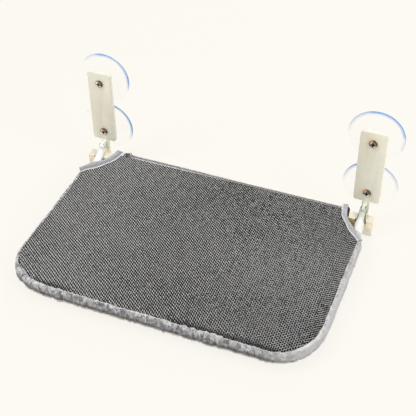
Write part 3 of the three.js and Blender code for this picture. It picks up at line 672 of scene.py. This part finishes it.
def dressed_copy(node, name, material, body, slot, rounding=0.0, segments=2):
    """A joined-up copy of a CAD node, smooth where it is round, with its edges eased."""
    bm = bmesh.new()
    bm.from_mesh(frame["nodes"][node].data)
    bmesh.ops.remove_doubles(bm, verts=bm.verts, dist=0.000002)
    bmesh.ops.dissolve_limit(
        bm, angle_limit=math.radians(1.0), verts=bm.verts, edges=bm.edges, delimit={"NORMAL"})
    piece = make_piece(bm, name, material, body)
    if rounding:
        modify(
            piece, "rounded_edges", "BEVEL", width=rounding * mm, segments=segments,
            limit_method="ANGLE", angle_limit=math.radians(35), miter_outer="MITER_ARC",
            harden_normals=True)
    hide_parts(node)
    return piece


# Suction cups, screws and inserts
# How strongly each rim's painted blue glint shows, by its angle in degrees
caught_light = {
    "left_upper": [
        (-25, 0), (-12, 0.5), (5, 1), (45, 0.75), (60, 0.7), (98, 1), (112, 0.4), (135, 0.25),
        (152, 0)],
    "left_lower": [
        (-35, 0), (-15, 0.4), (0, 0.9), (20, 1), (57, 0.8), (72, 1), (76, 0), (148, 0),
        (155, 0.2), (162, 0)],
    "right_upper": [
        (-28, 0), (-20, 0.25), (5, 0.3), (12, 0.8), (60, 0.9), (100, 1), (115, 0.6),
        (150, 0.4), (175, 0.15), (192, 0)],
    "right_lower": [
        (-5, 0), (5, 0.2), (30, 0.45), (62, 0.6), (68, 0), (118, 0), (124, 0.9),
        (145, 0.55), (165, 0.3), (188, 0)],
}


def between_stops(stops, angle):
    """The value at an angle, on straight lines between the stops, and 0 outside them."""
    for (low, first), (high, second) in zip(stops, stops[1:]):
        if low <= angle <= high:
            return first + (second - first) * (angle - low) / (high - low)
    return 0.0


def turned_piece(bm, profile, x, height, steps):
    """Turns a profile of (radius, distance) round an axis that points out of the glass."""
    corners, edges = chained(bm, [at(x + radius, distance, height) for radius, distance in profile])
    spun(bm, corners + edges, at(x, 0, height), math.tau, steps, axis=(0, 1, 0), merge=True)
    bmesh.ops.remove_doubles(bm, verts=bm.verts, dist=0.000001)
    face_out(bm)


def curve(start, pull, end, count):
    """Points on a smooth bend from start to end, drawn towards pull."""
    return [
        tuple(
            (1 - share) * (1 - share) * a + 2 * (1 - share) * share * b + share * share * c
            for a, b, c in zip(start, pull, end))
        for share in (step / count for step in range(count + 1))]


def make_cup(place, x, height, material):
    hub_end = 13.7
    profile = curve((0, 3.0), (27, 3.0), (34.5, 0.25), 12)
    profile += [(36.0, 0.0), (41.9, 0.0), (42.35, 0.18), (42.5, 0.55), (42.4, 1.0), (42.0, 1.3)]
    profile += curve((41.2, 1.45), (26.5, 7.0), (12.5, 7.0), 14)
    profile += curve((12.0, 7.1), (10.5, 7.4), (10.5, 9.0), 4)
    profile += [(10.5, 13.2), (10.2, hub_end), (5.3, hub_end), (4.9, 13.4)]
    profile += [(4.9, 9.0), (7.1, 9.0), (7.1, 7.0), (0, 7.0)]
    bm = bmesh.new()
    turned_piece(bm, profile, x, height, 96)
    layer, = vertex_values(bm, "caught_light")
    stops = caught_light[place]
    for vert in bm.verts:
        across = vert.co.x / mm - x
        up = vert.co.z / mm - height
        if math.hypot(across, up) > cup_radius - rim_width:
            angle = math.degrees(math.atan2(up, across))
            vert[layer] = between_stops(stops, angle + 360 if angle < -90 else angle)
    piece = make_piece(bm, f"{place}_clear_cup", material, "window_brackets")
    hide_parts(f"{place}_suction_cup")


def make_screw(place, x, height, material):
    seat = plate_distance + 0.3
    side = 2.3
    crown = seat + head_height
    profile = [
        (0, screw_tip_distance), (2.15, screw_tip_distance),
        (shank_radius, screw_tip_distance + 0.75), (shank_radius, seat),
        (head_radius - 0.25, seat), (head_radius, seat + 0.25)]
    profile += curve(
        (head_radius, seat + 1.1), (head_radius - 0.2, seat + side),
        (head_radius - 1.6, seat + side + 0.5), 6)
    profile += curve((head_radius - 2.2, seat + side + 0.65), (2.2, crown), (0, crown), 6)
    bm = bmesh.new()
    turned_piece(bm, profile, x, height, 56)
    piece = make_piece(
        bm, f"{place}_pan_head_screw", material, "window_brackets", 50)

    cutter_bm = bmesh.new()
    for span, width in ((recess_span, recess_width), (recess_width, recess_span)):
        made = bmesh.ops.create_cube(cutter_bm, size=1.0)["verts"]
        bmesh.ops.scale(cutter_bm, verts=made, vec=(span * mm, recess_depth * 2 * mm, width * mm))
        inner = [vert for vert in made if vert.co.y > 0]
        bmesh.ops.scale(cutter_bm, verts=inner, vec=(0.55, 1, 0.55))
        bmesh.ops.translate(cutter_bm, verts=made, vec=at(x, crown, height))
    cutter = add_object("recess_cutter", as_mesh(cutter_bm, "recess_cutter"))
    modify(
        piece, "cross_recess", "BOOLEAN", operation="DIFFERENCE", solver="EXACT", use_self=True,
        object=cutter)
    keep_shape(piece)
    bpy.data.objects.remove(cutter)
    from_axis = piece.data.attributes.new("from_axis", "FLOAT_VECTOR", "POINT")
    for vert, offset in zip(piece.data.vertices, from_axis.data):
        offset.vector = (vert.co - at(x, 0, height)) / mm
    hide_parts(f"{place}_screw")


# Bed layers
def half_width(distance, width, front, inset, drawn=0.0):
    """Half the width of a layer of the bed at a distance from the glass."""
    corner = front - corner_distance
    past = max(distance - corner_distance, 0)
    straight = min(corner_offset + math.sqrt(max(corner ** 2 - past ** 2, 0)), width)
    radius = cutout_radius + inset - drawn * gathered(distance)
    reach = radius ** 2 - (distance - cutout_distance) ** 2
    return min(straight, cutout_offset - math.sqrt(reach)) if reach > 0 else straight


def row_distances(rear, width, front, inset, cutout_rows, side_rows, corner_rows):
    end = cutout_distance + math.sqrt(
        (cutout_radius + inset) ** 2 - (cutout_offset - width) ** 2)
    corner = front - corner_distance
    rows = [rear + (end - rear) * step / cutout_rows for step in range(cutout_rows)]
    rows += [end + (corner_distance - end) * step / side_rows for step in range(side_rows)]
    rows += [
        corner_distance + corner * math.sin(math.pi / 2 * step / corner_rows)
        for step in range(corner_rows + 1)]
    return rows


def dip_at(x, distance):
    across = max(1 - (x / bracket_offset) ** 2, 0) ** 2
    along = (distance - 20) / 306
    return hammock_dip * across * max(4 * along * (1 - along), 0) ** 2


def pulled_in(point, inner, outer):
    """Rounds the front corners more, fully at the outer radius and not at the inner one."""
    x = point.x / mm
    slope = left_slope * eased(-x, 138, 195) * eased(-point.y / mm, 295, 330)
    inwards = right_slope * eased(x, 190, 214) * eased(-point.y / mm, 258, 302)
    point = point + Vector((-inwards * mm, slope * mm, 0))
    across, along = abs(x) - corner_offset, -point.y / mm - corner_distance
    if across <= 0 or along <= 0:
        return point
    turn = math.atan2(along, across)
    pull = 4.0 if x < 0 else 2.4 * math.cos(turn)
    pull *= math.sin(2 * turn) ** 2 * eased(math.hypot(across, along), inner, outer)
    return point - Vector((math.copysign(math.cos(turn), x), -math.sin(turn), 0)) * pull * mm


def lay_sheet(rear, width, front, inset, columns, rows, height_at, drawn=0.0):
    """A grid laid out over a layer's outline."""
    distances = row_distances(rear, width, front, inset, *rows)
    last = len(distances) - 1
    bm = bmesh.new()
    bmesh.ops.create_grid(bm, x_segments=columns, y_segments=last, size=1.0)
    for vert in bm.verts:
        row = round((1 - vert.co.y) / 2 * last)
        across = math.sin(math.pi / 2 * vert.co.x)
        distance = distances[row]
        x = across * half_width(distance, width, front, inset, drawn)
        if x < 0:
            x += across * drawn * left_overhang(distance)
        along = 2 * (distance - rear) / (front - rear) - 1
        place = at(x, distance, height_at(x, distance, max(abs(across), abs(along))))
        vert.co = pulled_in(place, 25, front - corner_distance)
    return bm


def left_overhang(distance):
    """How far the woven top reaches over the edge roll on its left side."""
    return 1.0 * eased(distance, 200, 240) * (1 - eased(distance, 292, 326))


def flat_area(rear, width, front, inset):
    steps = 400
    step = (front - rear) / steps
    return sum(
        2 * half_width(rear + (n + 0.5) * step, width, front, inset) * step
        for n in range(steps)) * mm * mm


def make_woven_top(material):
    def height_at(x, distance, edge_share):
        soft = noise.noise(Vector((x * 0.018, distance * 0.018, 3.0))) * 0.25
        dipped = woven_top - dip_at(x, distance) - 0.9 * edge_share ** 8
        return dipped + soft * (1 - edge_share ** 6) + rise_over_arm(x, distance)

    bm = lay_sheet(
        rear_distance, woven_half_width, woven_front, woven_inset, 150, (26, 46, 18),
        height_at, 1.0)
    # Seam: a painted shadow line along the front edge and the left edge.
    layer, = vertex_values(bm, "seam")
    for vert in bm.verts:
        x, distance, _ = placed(vert)
        covered = max(ramp(-x, 105, 135), ramp(x, 15, 55))
        front_line = ramp(distance, woven_front - 9, woven_front - 5) * covered
        edge = half_width(distance, woven_half_width, woven_front, woven_inset, 1.0)
        edge += left_overhang(distance)
        left_line = ramp(-x, edge - 1.8, edge - 1.1) * eased(distance, 150, 190)
        vert[layer] = max(front_line, 0.6 * left_line)
    piece = make_piece(bm, "woven_top_cloth", material, "folding_bed", 60)
    thicken(piece, woven_thickness, even=True)
    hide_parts("woven_top_panel")
    return piece


def make_under_cover(material):
    def height_at(x, distance, edge_share):
        soft = noise.noise(Vector((x * 0.02, distance * 0.02, 9.0))) * 0.8
        return cover_top - 0.5 - dip_at(x, distance) + soft * 0.5 * (1 - edge_share ** 6)

    bm = lay_sheet(cover_rear, cover_half_width, cover_front, 0, 120, (24, 50, 18), height_at)
    layer, = vertex_values(bm, "pile")
    for vert in bm.verts:
        vert[layer] = 0.5
    piece = make_piece(bm, "plush_cover_cloth", material, "folding_bed", 60)
    thicken(piece, cover_thickness - 0.5, even=True)
    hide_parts("plush_under_cover")
    return piece


def tucked_in(x, distance):
    """1 where the edge roll lies in under the woven top, along the left side."""
    return eased(-x, 205, 222) * eased(distance, 150, 195) * (1 - eased(distance, 292, 326))


def make_edge_roll(material):
    """Soft rolled edge on three sides, with a tufted pile."""
    bm = bmesh.new()
    ring = bmesh.ops.create_circle(bm, segments=34, radius=1.0, cap_ends=False)["verts"]
    for vert in ring:
        across, up = vert.co.x, vert.co.y
        vert.co = at(
            -cover_half_width + roll_half_width * math.copysign(abs(across) ** 0.8, across),
            roll_start,
            roll_height + roll_half_height * math.copysign(abs(up) ** 0.8, up))
        if up > 0:
            vert.co += at(1.5 * up ** 2, 0, 1.6 * up)
    stretches = (
        ((0, -(corner_distance - roll_start) / 150 * mm, 0), 0, 150, None),
        ((0, 0, 0), math.pi / 2, 64, at(-corner_offset, corner_distance, roll_height)),
        ((2 * corner_offset / 280 * mm, 0, 0), 0, 280, None),
        ((0, 0, 0), math.pi / 2, 64, at(corner_offset, corner_distance, roll_height)),
        ((0, (corner_distance - roll_start) / 150 * mm, 0), 0, 150, None),
    )
    end = ring + list(bm.edges)
    for step, angle, steps, centre in stretches:
        made = spun(bm, end, centre or (0, 0, 0), angle, steps, shift=step)
        end = [part for part in made if not isinstance(part, bmesh.types.BMFace)]
    bmesh.ops.holes_fill(bm, edges=[edge for edge in bm.edges if edge.is_boundary])
    face_out(bm)
    bm.normal_update()

    # Where a pleat crosses the front edge, and how wide it is
    pleats = [
        (-135, 3.5), (-96, 3.0), (24, 2.6), (54, 2.6), (66, 2.8), (85, 2.3), (95, 2.3), (105, 2.6)]
    roll_middle = cover_front - corner_distance
    for vert in bm.verts:
        x, distance, _ = placed(vert)
        clump = noise.noise(vert.co / mm * 0.11) * 0.7
        lump = noise.noise(Vector((x, distance, 0)) * 0.05 + Vector((7, 1, 4))) * 0.8
        fold = 0.0
        if distance > 320:
            fold = sum(1.5 * math.exp(-((x - middle) / width) ** 2) for middle, width in pleats)
        outwards = ramp(-vert.normal.z, -0.6, 0.4)
        tucked = tucked_in(x, distance)
        bulge = (clump + lump) * (1 - 0.6 * tucked) - 0.5 - 0.9 * outwards + fold
        vert.co += vert.normal * bulge * mm
        outer = ramp(-x, cover_half_width, cover_half_width + roll_half_width)
        moved = -0.4 + 5.6 * (1 - eased(distance, 140, 215))
        vert.co.x += moved * outer * (1 - eased(distance, 300, 330)) * mm
        vert.co.z -= max(vert.co.z - at(0, 0, -92).z, 0) * 0.12 * tucked
        vert.co.z += max(at(0, 0, -90).z - vert.co.z, 0) * 0.12 * eased(distance, 300, 330)
        vert.co = pulled_in(vert.co, roll_middle, roll_middle + roll_half_width)

    bm.normal_update()
    layer, shaded, beside, hem, outer_side = vertex_values(
        bm, "pile", "under", "brushing_and_side_light", "hem", "outer")
    chance = random.Random(7)
    tufts = bmesh.ops.poke(
        bm, faces=list(bm.faces), offset=0.0, center_mode="MEAN_WEIGHTED",
        use_relative_offset=False)["verts"]
    for vert in tufts:
        x, distance, _ = placed(vert)
        tucked = tucked_in(x, distance)
        clump = noise.noise(vert.co / mm * 0.45)
        outwards = ramp(-vert.normal.z, -0.6, 0.4)
        length = 0.7 + 1.0 * chance.random() + 0.5 * clump + 2.4 * outwards * chance.random() ** 2
        length *= 1 - 0.75 * tucked
        lean = noise.noise_vector(vert.co / mm * 0.16) * 0.9
        ridge = sum(math.exp(-((x - middle) / width) ** 2) for middle, width in pleats)
        valley = sum(math.exp(-((x - middle - 5) / 2) ** 2) for middle, width in pleats)
        # Painted highlight on the pleat ridges and painted shade in the valleys beside them.
        if distance > 320:
            clump += 0.9 * ridge - 1.4 * valley
        vert[layer] = 0.5 + 0.45 * chance.random() + 0.35 * clump
        vert.co += (vert.normal * length + lean * (1 - 0.7 * tucked)) * mm
    # Painted light and shade: under is painted shade on the lower front and the left outer side;
    # hem a painted pale hem and a painted highlight on the inner top edge; outer a painted
    # highlight on outward faces; the right side band painted paler.
    for vert in bm.verts:
        x, distance, height = placed(vert)
        facing_front = ramp(distance, 290, 330) * ramp(-x, -205, -165)
        low = ramp(-height, 84.5, 91.0) ** 2
        pale_below = ramp(-height, 92.5, 95.5)
        vert[shaded] = (0.06 + 0.84 * facing_front) * low * (1 - 0.8 * pale_below)
        left_side = 0.4 * eased(-x, 218, 224) * (1 - eased(distance, 170, 200))
        vert[shaded] = max(vert[shaded], left_side * ramp(-vert.normal.x, 0, 0.5))
        outwards = Vector((
            math.copysign(max(abs(x) - corner_offset, 0), x),
            -max(distance - corner_distance, 0), 0))
        beyond = outwards.length - (woven_half_width - corner_offset)
        inner_top = 1 - eased(beyond, 0.7, 1.7) if vert.normal.z > 0.1 else 0
        vert[hem] = max(facing_front * pale_below, 0.85 * inner_top * (1 - eased(-x, 150, 200)))
        vert[outer_side] = eased(vert.normal.dot(outwards.normalized()), 0.1, 0.9)
        vert[beside] = ramp(x, 150, 210)
    piece = make_piece(bm, "plush_edge_roll", material, "folding_bed", 180)
    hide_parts("plush_under_cover")
    return piece


def make_foam_pad(material):
    """Foam pad, swollen by a short cloth simulation and held clear of the covers."""
    def height_at(x, distance, edge_share):
        return foam_top - dip_at(x, distance) - 1.6 * edge_share ** 8

    bm = lay_sheet(
        foam_rear, foam_half_width, foam_front, foam_inset, 40, (8, 16, 8), height_at)
    bmesh.ops.solidify(bm, geom=list(bm.faces), thickness=foam_thickness * mm)
    face_out(bm)
    piece = make_piece(bm, "soft_foam_pad", material, "folding_bed", 180)
    modify(piece, "even_skin", "REMESH", mode="VOXEL", voxel_size=5.0 * mm)
    keep_shape(piece)
    start = [vert.co.copy() for vert in piece.data.vertices]
    cloth = piece.modifiers.new("swelling", "CLOTH")
    cloth.settings.use_pressure = True
    cloth.settings.uniform_pressure_force = 4.0
    cloth.settings.effector_weights.gravity = 0
    cloth.settings.quality = 4
    for step in range(1, 21):
        bpy.context.scene.frame_set(step)
    keep_shape(piece)
    bpy.context.scene.frame_set(1)
    for vert, before in zip(piece.data.vertices, start):
        move = vert.co - before
        if move.length > foam_swelling * mm:
            move = move.normalized() * foam_swelling * mm
        vert.co = before + move
    modify(piece, "finer_skin", "SUBSURF", levels=1, render_levels=1)
    keep_shape(piece)
    piece.data.shade_smooth()
    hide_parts("foam_pad")
    return piece


# Bindings round the cut-outs
def beside_cutout(side, inset, angle, height):
    """A point beside a cut-out's edge, at an angle round the cut-out's centre."""
    radius = cutout_radius + inset
    x = side * (cutout_offset - radius * math.cos(angle))
    return at(x, cutout_distance + radius * math.sin(angle), height)


def rear_angle(side):
    """The angle where a cut-out's binding starts."""
    rear = left_binding_rear if side < 0 else right_binding_rear
    return math.asin((rear - cutout_distance) / cutout_radius)


def sweep_cutout(bm, side, profile, angle, steps, layers=()):
    """Sweeps a profile along a cut-out from its rear end. Each corner of the profile has
    its inset from the edge, its height and its values for the layers."""
    start = rear_angle(side)
    corners, edges = chained(
        bm, [beside_cutout(side, inset, start, height) for inset, height, *_ in profile])
    for corner, (_, _, *values) in zip(corners, profile):
        for layer, value in zip(layers, values):
            corner[layer] = value
    spun(bm, corners + edges, at(side * cutout_offset, cutout_distance, 0), side * angle, steps)


def make_binding(side_name, side, material, thread):
    start = rear_angle(side)
    end = math.acos((cutout_offset - woven_half_width - 4.2) / cutout_radius)
    # Each corner: inset, height, painted shade in the dip, bright inner edge.
    wall = [(0.45, -82.6, 0.3, 0), (0.4, -81.0, 0, 0), (0.45, -79.6, 0, 0)]
    wide_fold = wall + [
        (-0.2, -79.35, 0.4, 0), (-3.7, -79.3, 0.4, 0), (-4.1, -79.0, 0.2, 0), (-3.8, -78.7, 0, 0),
        (-2.6, -78.6, 0, 0), (-1.0, -78.62, 0.1, 0), (0.4, -78.75, 0.3, 0), (1.8, -79.0, 0.8, 0),
        (3.2, -79.1, 1.0, 0), (4.2, -79.2, 0.9, 0)]
    narrow_fold = wall + [
        (0.8, -79.15, 0, 0), (1.6, -78.95, 0, 0), (2.6, -78.95, 0, 0), (3.4, -79.1, 0.1, 0),
        (4.2, -79.3, 0.6, 0)]
    profile = (wide_fold if side < 0 else narrow_fold) + [
        (5.4, -79.34, 1, 0), (6.4, -79.32, 1, 0), (7.0, -79.15, 0.4, 0), (7.6, -79.1, 0.1, 0.1),
        (8.1, -79.4, 0, 0.8), (8.6, -79.5, 0.1, 0.8), (8.9, -79.8, 0.6, 0)]
    bm = bmesh.new()
    dip, bright = vertex_values(bm, "dip", "bright_edge")
    sweep_cutout(bm, side, profile, end - start, 60, (dip, bright))
    face_up(bm)
    for vert in bm.verts:
        # The dip's painted shade is stronger on the left.
        vert[dip] *= 0.8 if side < 0 else 0.22
        pucker = noise.noise(vert.co / mm * 0.22) * 0.14
        vert.co = drawn_out(vert.co)
        vert.co.z += pucker * mm
    piece = make_piece(bm, f"{side_name}_cutout_tape", material, "folding_bed", 60)
    thicken(piece, 0.25 if side < 0 else 0.7)
    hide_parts(f"{side_name}_cutout_binding")

    stitches = bmesh.new()
    for step in range(stitch_count):
        angle = start + (end - start) * (step + 0.5) / stitch_count
        made = bmesh.ops.create_uvsphere(
            stitches, u_segments=8, v_segments=5, radius=0.28 * mm)["verts"]
        bmesh.ops.scale(stitches, verts=made, vec=(1, 3.6, 0.8))
        bmesh.ops.rotate(
            stitches, verts=made, cent=(0, 0, 0), matrix=Matrix.Rotation(side * angle, 3, "Z"))
        bmesh.ops.translate(
            stitches, verts=made, vec=drawn_out(beside_cutout(side, 6.9, angle, -79.0)))
    seam = make_piece(
        stitches, f"{side_name}_cutout_stitches", thread, "folding_bed", 180)
    return [piece, seam]


def make_pocket_shade_cloth(side_name, side, material):
    """Cloth inside the rear end of a cut-out, between the top and the under cover, painted near
    black as the shade inside the pocket.
    """
    profile = (
        (1.2, -83.2), (-0.6, -84.6), (-2.2, -87.0), (-2.6, -90.0), (-1.8, -93.0), (0.8, -94.9))
    bm = bmesh.new()
    sweep_cutout(bm, side, profile, math.radians(14.5), 24)
    face_out(bm)
    piece = make_piece(
        bm, f"{side_name}_pocket_lining", material, "folding_bed", 60)
    thicken(piece, 0.6, offset=0)
    return piece


# Zip
def make_zip_tape(name, node, near, far, drop, material):
    """A strip of tape along the zip, with its near edge hanging down by the drop."""
    bm = bmesh.new()
    bmesh.ops.create_grid(bm, x_segments=180, y_segments=4, size=1.0)
    for vert in bm.verts:
        x = vert.co.x * zip_half_length
        distance = near + (far - near) * (1 - vert.co.y) / 2
        wave = noise.noise(Vector((x * 0.05, distance * 0.2, 2.0))) * 0.12
        vert.co = at(x, distance, tape_height + wave)
    if drop:
        edges = [
            edge for edge in bm.edges
            if edge.is_boundary and all(abs(placed(vert)[1] - near) < 0.01 for vert in edge.verts)]
        hung = bmesh.ops.extrude_edge_only(bm, edges=edges)["geom"]
        bmesh.ops.translate(
            bm, verts=[part for part in hung if isinstance(part, bmesh.types.BMVert)],
            vec=(0, 0, -drop * mm))
    face_up(bm)
    piece = make_piece(bm, name, material, "folding_bed", 60)
    thicken(piece, 0.5, even=True)
    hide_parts(node)
    return piece


def make_tooth_row(name, node, side, material):
    """One row of moulded teeth, each reaching between two of the other row."""
    half = zip_half_length - 2.5
    count = int(2 * half / tooth_pitch)
    bm = bmesh.new()
    tooth = bmesh.ops.create_cube(bm, size=1.0)["verts"]
    bmesh.ops.scale(bm, verts=tooth, vec=(0.95 * mm, 1.75 * mm, 1.5 * mm))
    tip = [vert for vert in tooth if vert.co.y * side > 0]
    bmesh.ops.scale(bm, verts=tip, vec=(0.7, 1, 0.7))
    bmesh.ops.bevel(
        bm, geom=list(bm.edges), offset=0.16 * mm, offset_type="OFFSET", segments=1,
        profile=0.5, affect="EDGES", clamp_overlap=True, material=-1)
    shift = tooth_pitch / 2 if side > 0 else 0.0
    bmesh.ops.translate(
        bm, verts=bm.verts, vec=at(-half + 0.6 + shift, zip_distance + side * -0.95, zip_height))
    piece = make_piece(bm, name, material, "folding_bed", 30)
    modify(
        piece, "row_of_teeth", "ARRAY", count=count, use_relative_offset=False,
        use_constant_offset=True, constant_offset_displace=(tooth_pitch * mm, 0, 0))
    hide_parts(node)
    return piece


def make_pull_ring(material):
    bm = bmesh.new()
    wire = bmesh.ops.create_circle(bm, segments=16, radius=0.6 * mm, cap_ends=False)["verts"]
    bmesh.ops.rotate(bm, verts=wire, cent=(0, 0, 0), matrix=Matrix.Rotation(math.pi / 2, 3, "X"))
    bmesh.ops.translate(bm, verts=wire, vec=at(ring_middle + 3.9, zip_distance, ring_height))
    centre = at(ring_middle, zip_distance, ring_height)
    spun(bm, wire + list(bm.edges), centre, math.tau, 56, merge=True)
    bmesh.ops.remove_doubles(bm, verts=bm.verts, dist=0.000001)
    face_out(bm)
    piece = make_piece(bm, "zip_ring_pull", material, "pull_ring", 180)
    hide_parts("zip_pull_ring")


# The hammock
aim_camera()
light_room()
lay_floor()

vinyl = clear_vinyl()
nickel = plated_screw()
brass = plated_metal("turned_brass", "c9a55c", "a5843f", 0.28)
dark_nickel = plated_metal("dark_nickel_zip", "98958f", "262422", 0.2)
coat = coated_tube()
binding_tape = folded_tape()
thread = sewing_thread()
pocket_shade = pocket_shade_cloth()

# The CAD's node, the piece, its material, body and slot, and how much its edges are rounded
side_pieces = (
    ("window_bracket", "moulded_bracket", ivory_plastic(),
     "window_brackets", "ivory_plastic", 0.35),
    ("hinge_arm", "fork_arm", white_plastic(), "folding_bed", "white_plastic", 0.3),
    ("hinge_pin", "steel_pin", plated_metal("ground_pin_steel", "b4b6b8", "8d8f91", 0.22),
     frame["nodes"]["left_hinge_pin"]["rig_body"], "pin_steel", 0.15),
    ("frame_tube", "bent_tube", coat, "folding_bed", "white_tube"),
    ("zip_stop", "metal_zip_stop", dark_nickel, "folding_bed", "dark_nickel", 0.2),
)
for side_name, side in (("left", -1), ("right", 1)):
    for node, name, *looks in side_pieces:
        dressed_copy(f"{side_name}_{node}", f"{side_name}_{name}", *looks)
    for level_name, level in (("lower", -1), ("upper", 1)):
        place = f"{side_name}_{level_name}"
        make_cup(place, side * bracket_offset, level * screw_offset, vinyl)
        make_screw(place, side * bracket_offset, level * screw_offset, nickel)
        dressed_copy(
            f"{place}_threaded_insert", f"{place}_brass_insert", brass,
            "window_brackets", "brass_insert", 0.15)
dressed_copy(
    "frame_joining_spigot", "tube_joining_spigot", coat, "folding_bed", "white_tube", 0.2)

pad = make_foam_pad(pad_foam())
woven = make_woven_top(woven_cloth())
cover = make_under_cover(plush_cloth())
roll = make_edge_roll(grey_plush())
trims = make_binding("left", -1, binding_tape, thread)
trims += make_binding("right", 1, binding_tape, thread)
trims += [make_pocket_shade_cloth("left", -1, pocket_shade), make_pocket_shade_cloth("right", 1, pocket_shade)]
trims.append(make_zip_tape(
    "zip_front_cloth", "zip_front_tape", zip_distance + 2.4, zip_distance + 3.5, 0,
    ribbed_tape("grey_front_tape", "ececee", "8d8d90", "3c3c3e")))
rear_tape = make_zip_tape(
    "zip_rear_cloth", "zip_rear_tape", zip_distance - 3.85, zip_distance - 2.3, 4.2,
    ribbed_tape("grey_rear_tape", "d8d8d8", "9b9b9d", "efece5"))
flat_area(rear_distance, woven_half_width, woven_front, woven_inset)
flat_area(cover_rear, cover_half_width, cover_front, 0)

make_tooth_row(
    "zip_front_tooth_row", "zip_front_teeth", -1,
    moulded_teeth("grey_front_teeth", "b0b0b2", "6e6e70", "464648"))
make_tooth_row(
    "zip_rear_tooth_row", "zip_rear_teeth", 1,
    moulded_teeth("grey_rear_teeth", "a9a9ab", "66666a", "dcdad4"))
dressed_copy("zip_slider", "zip_slider_body", dark_nickel, "slider", "dark_nickel", 0.35, 3)
make_pull_ring(dark_nickel)

bpy.context.scene.view_settings.view_transform = "Standard"
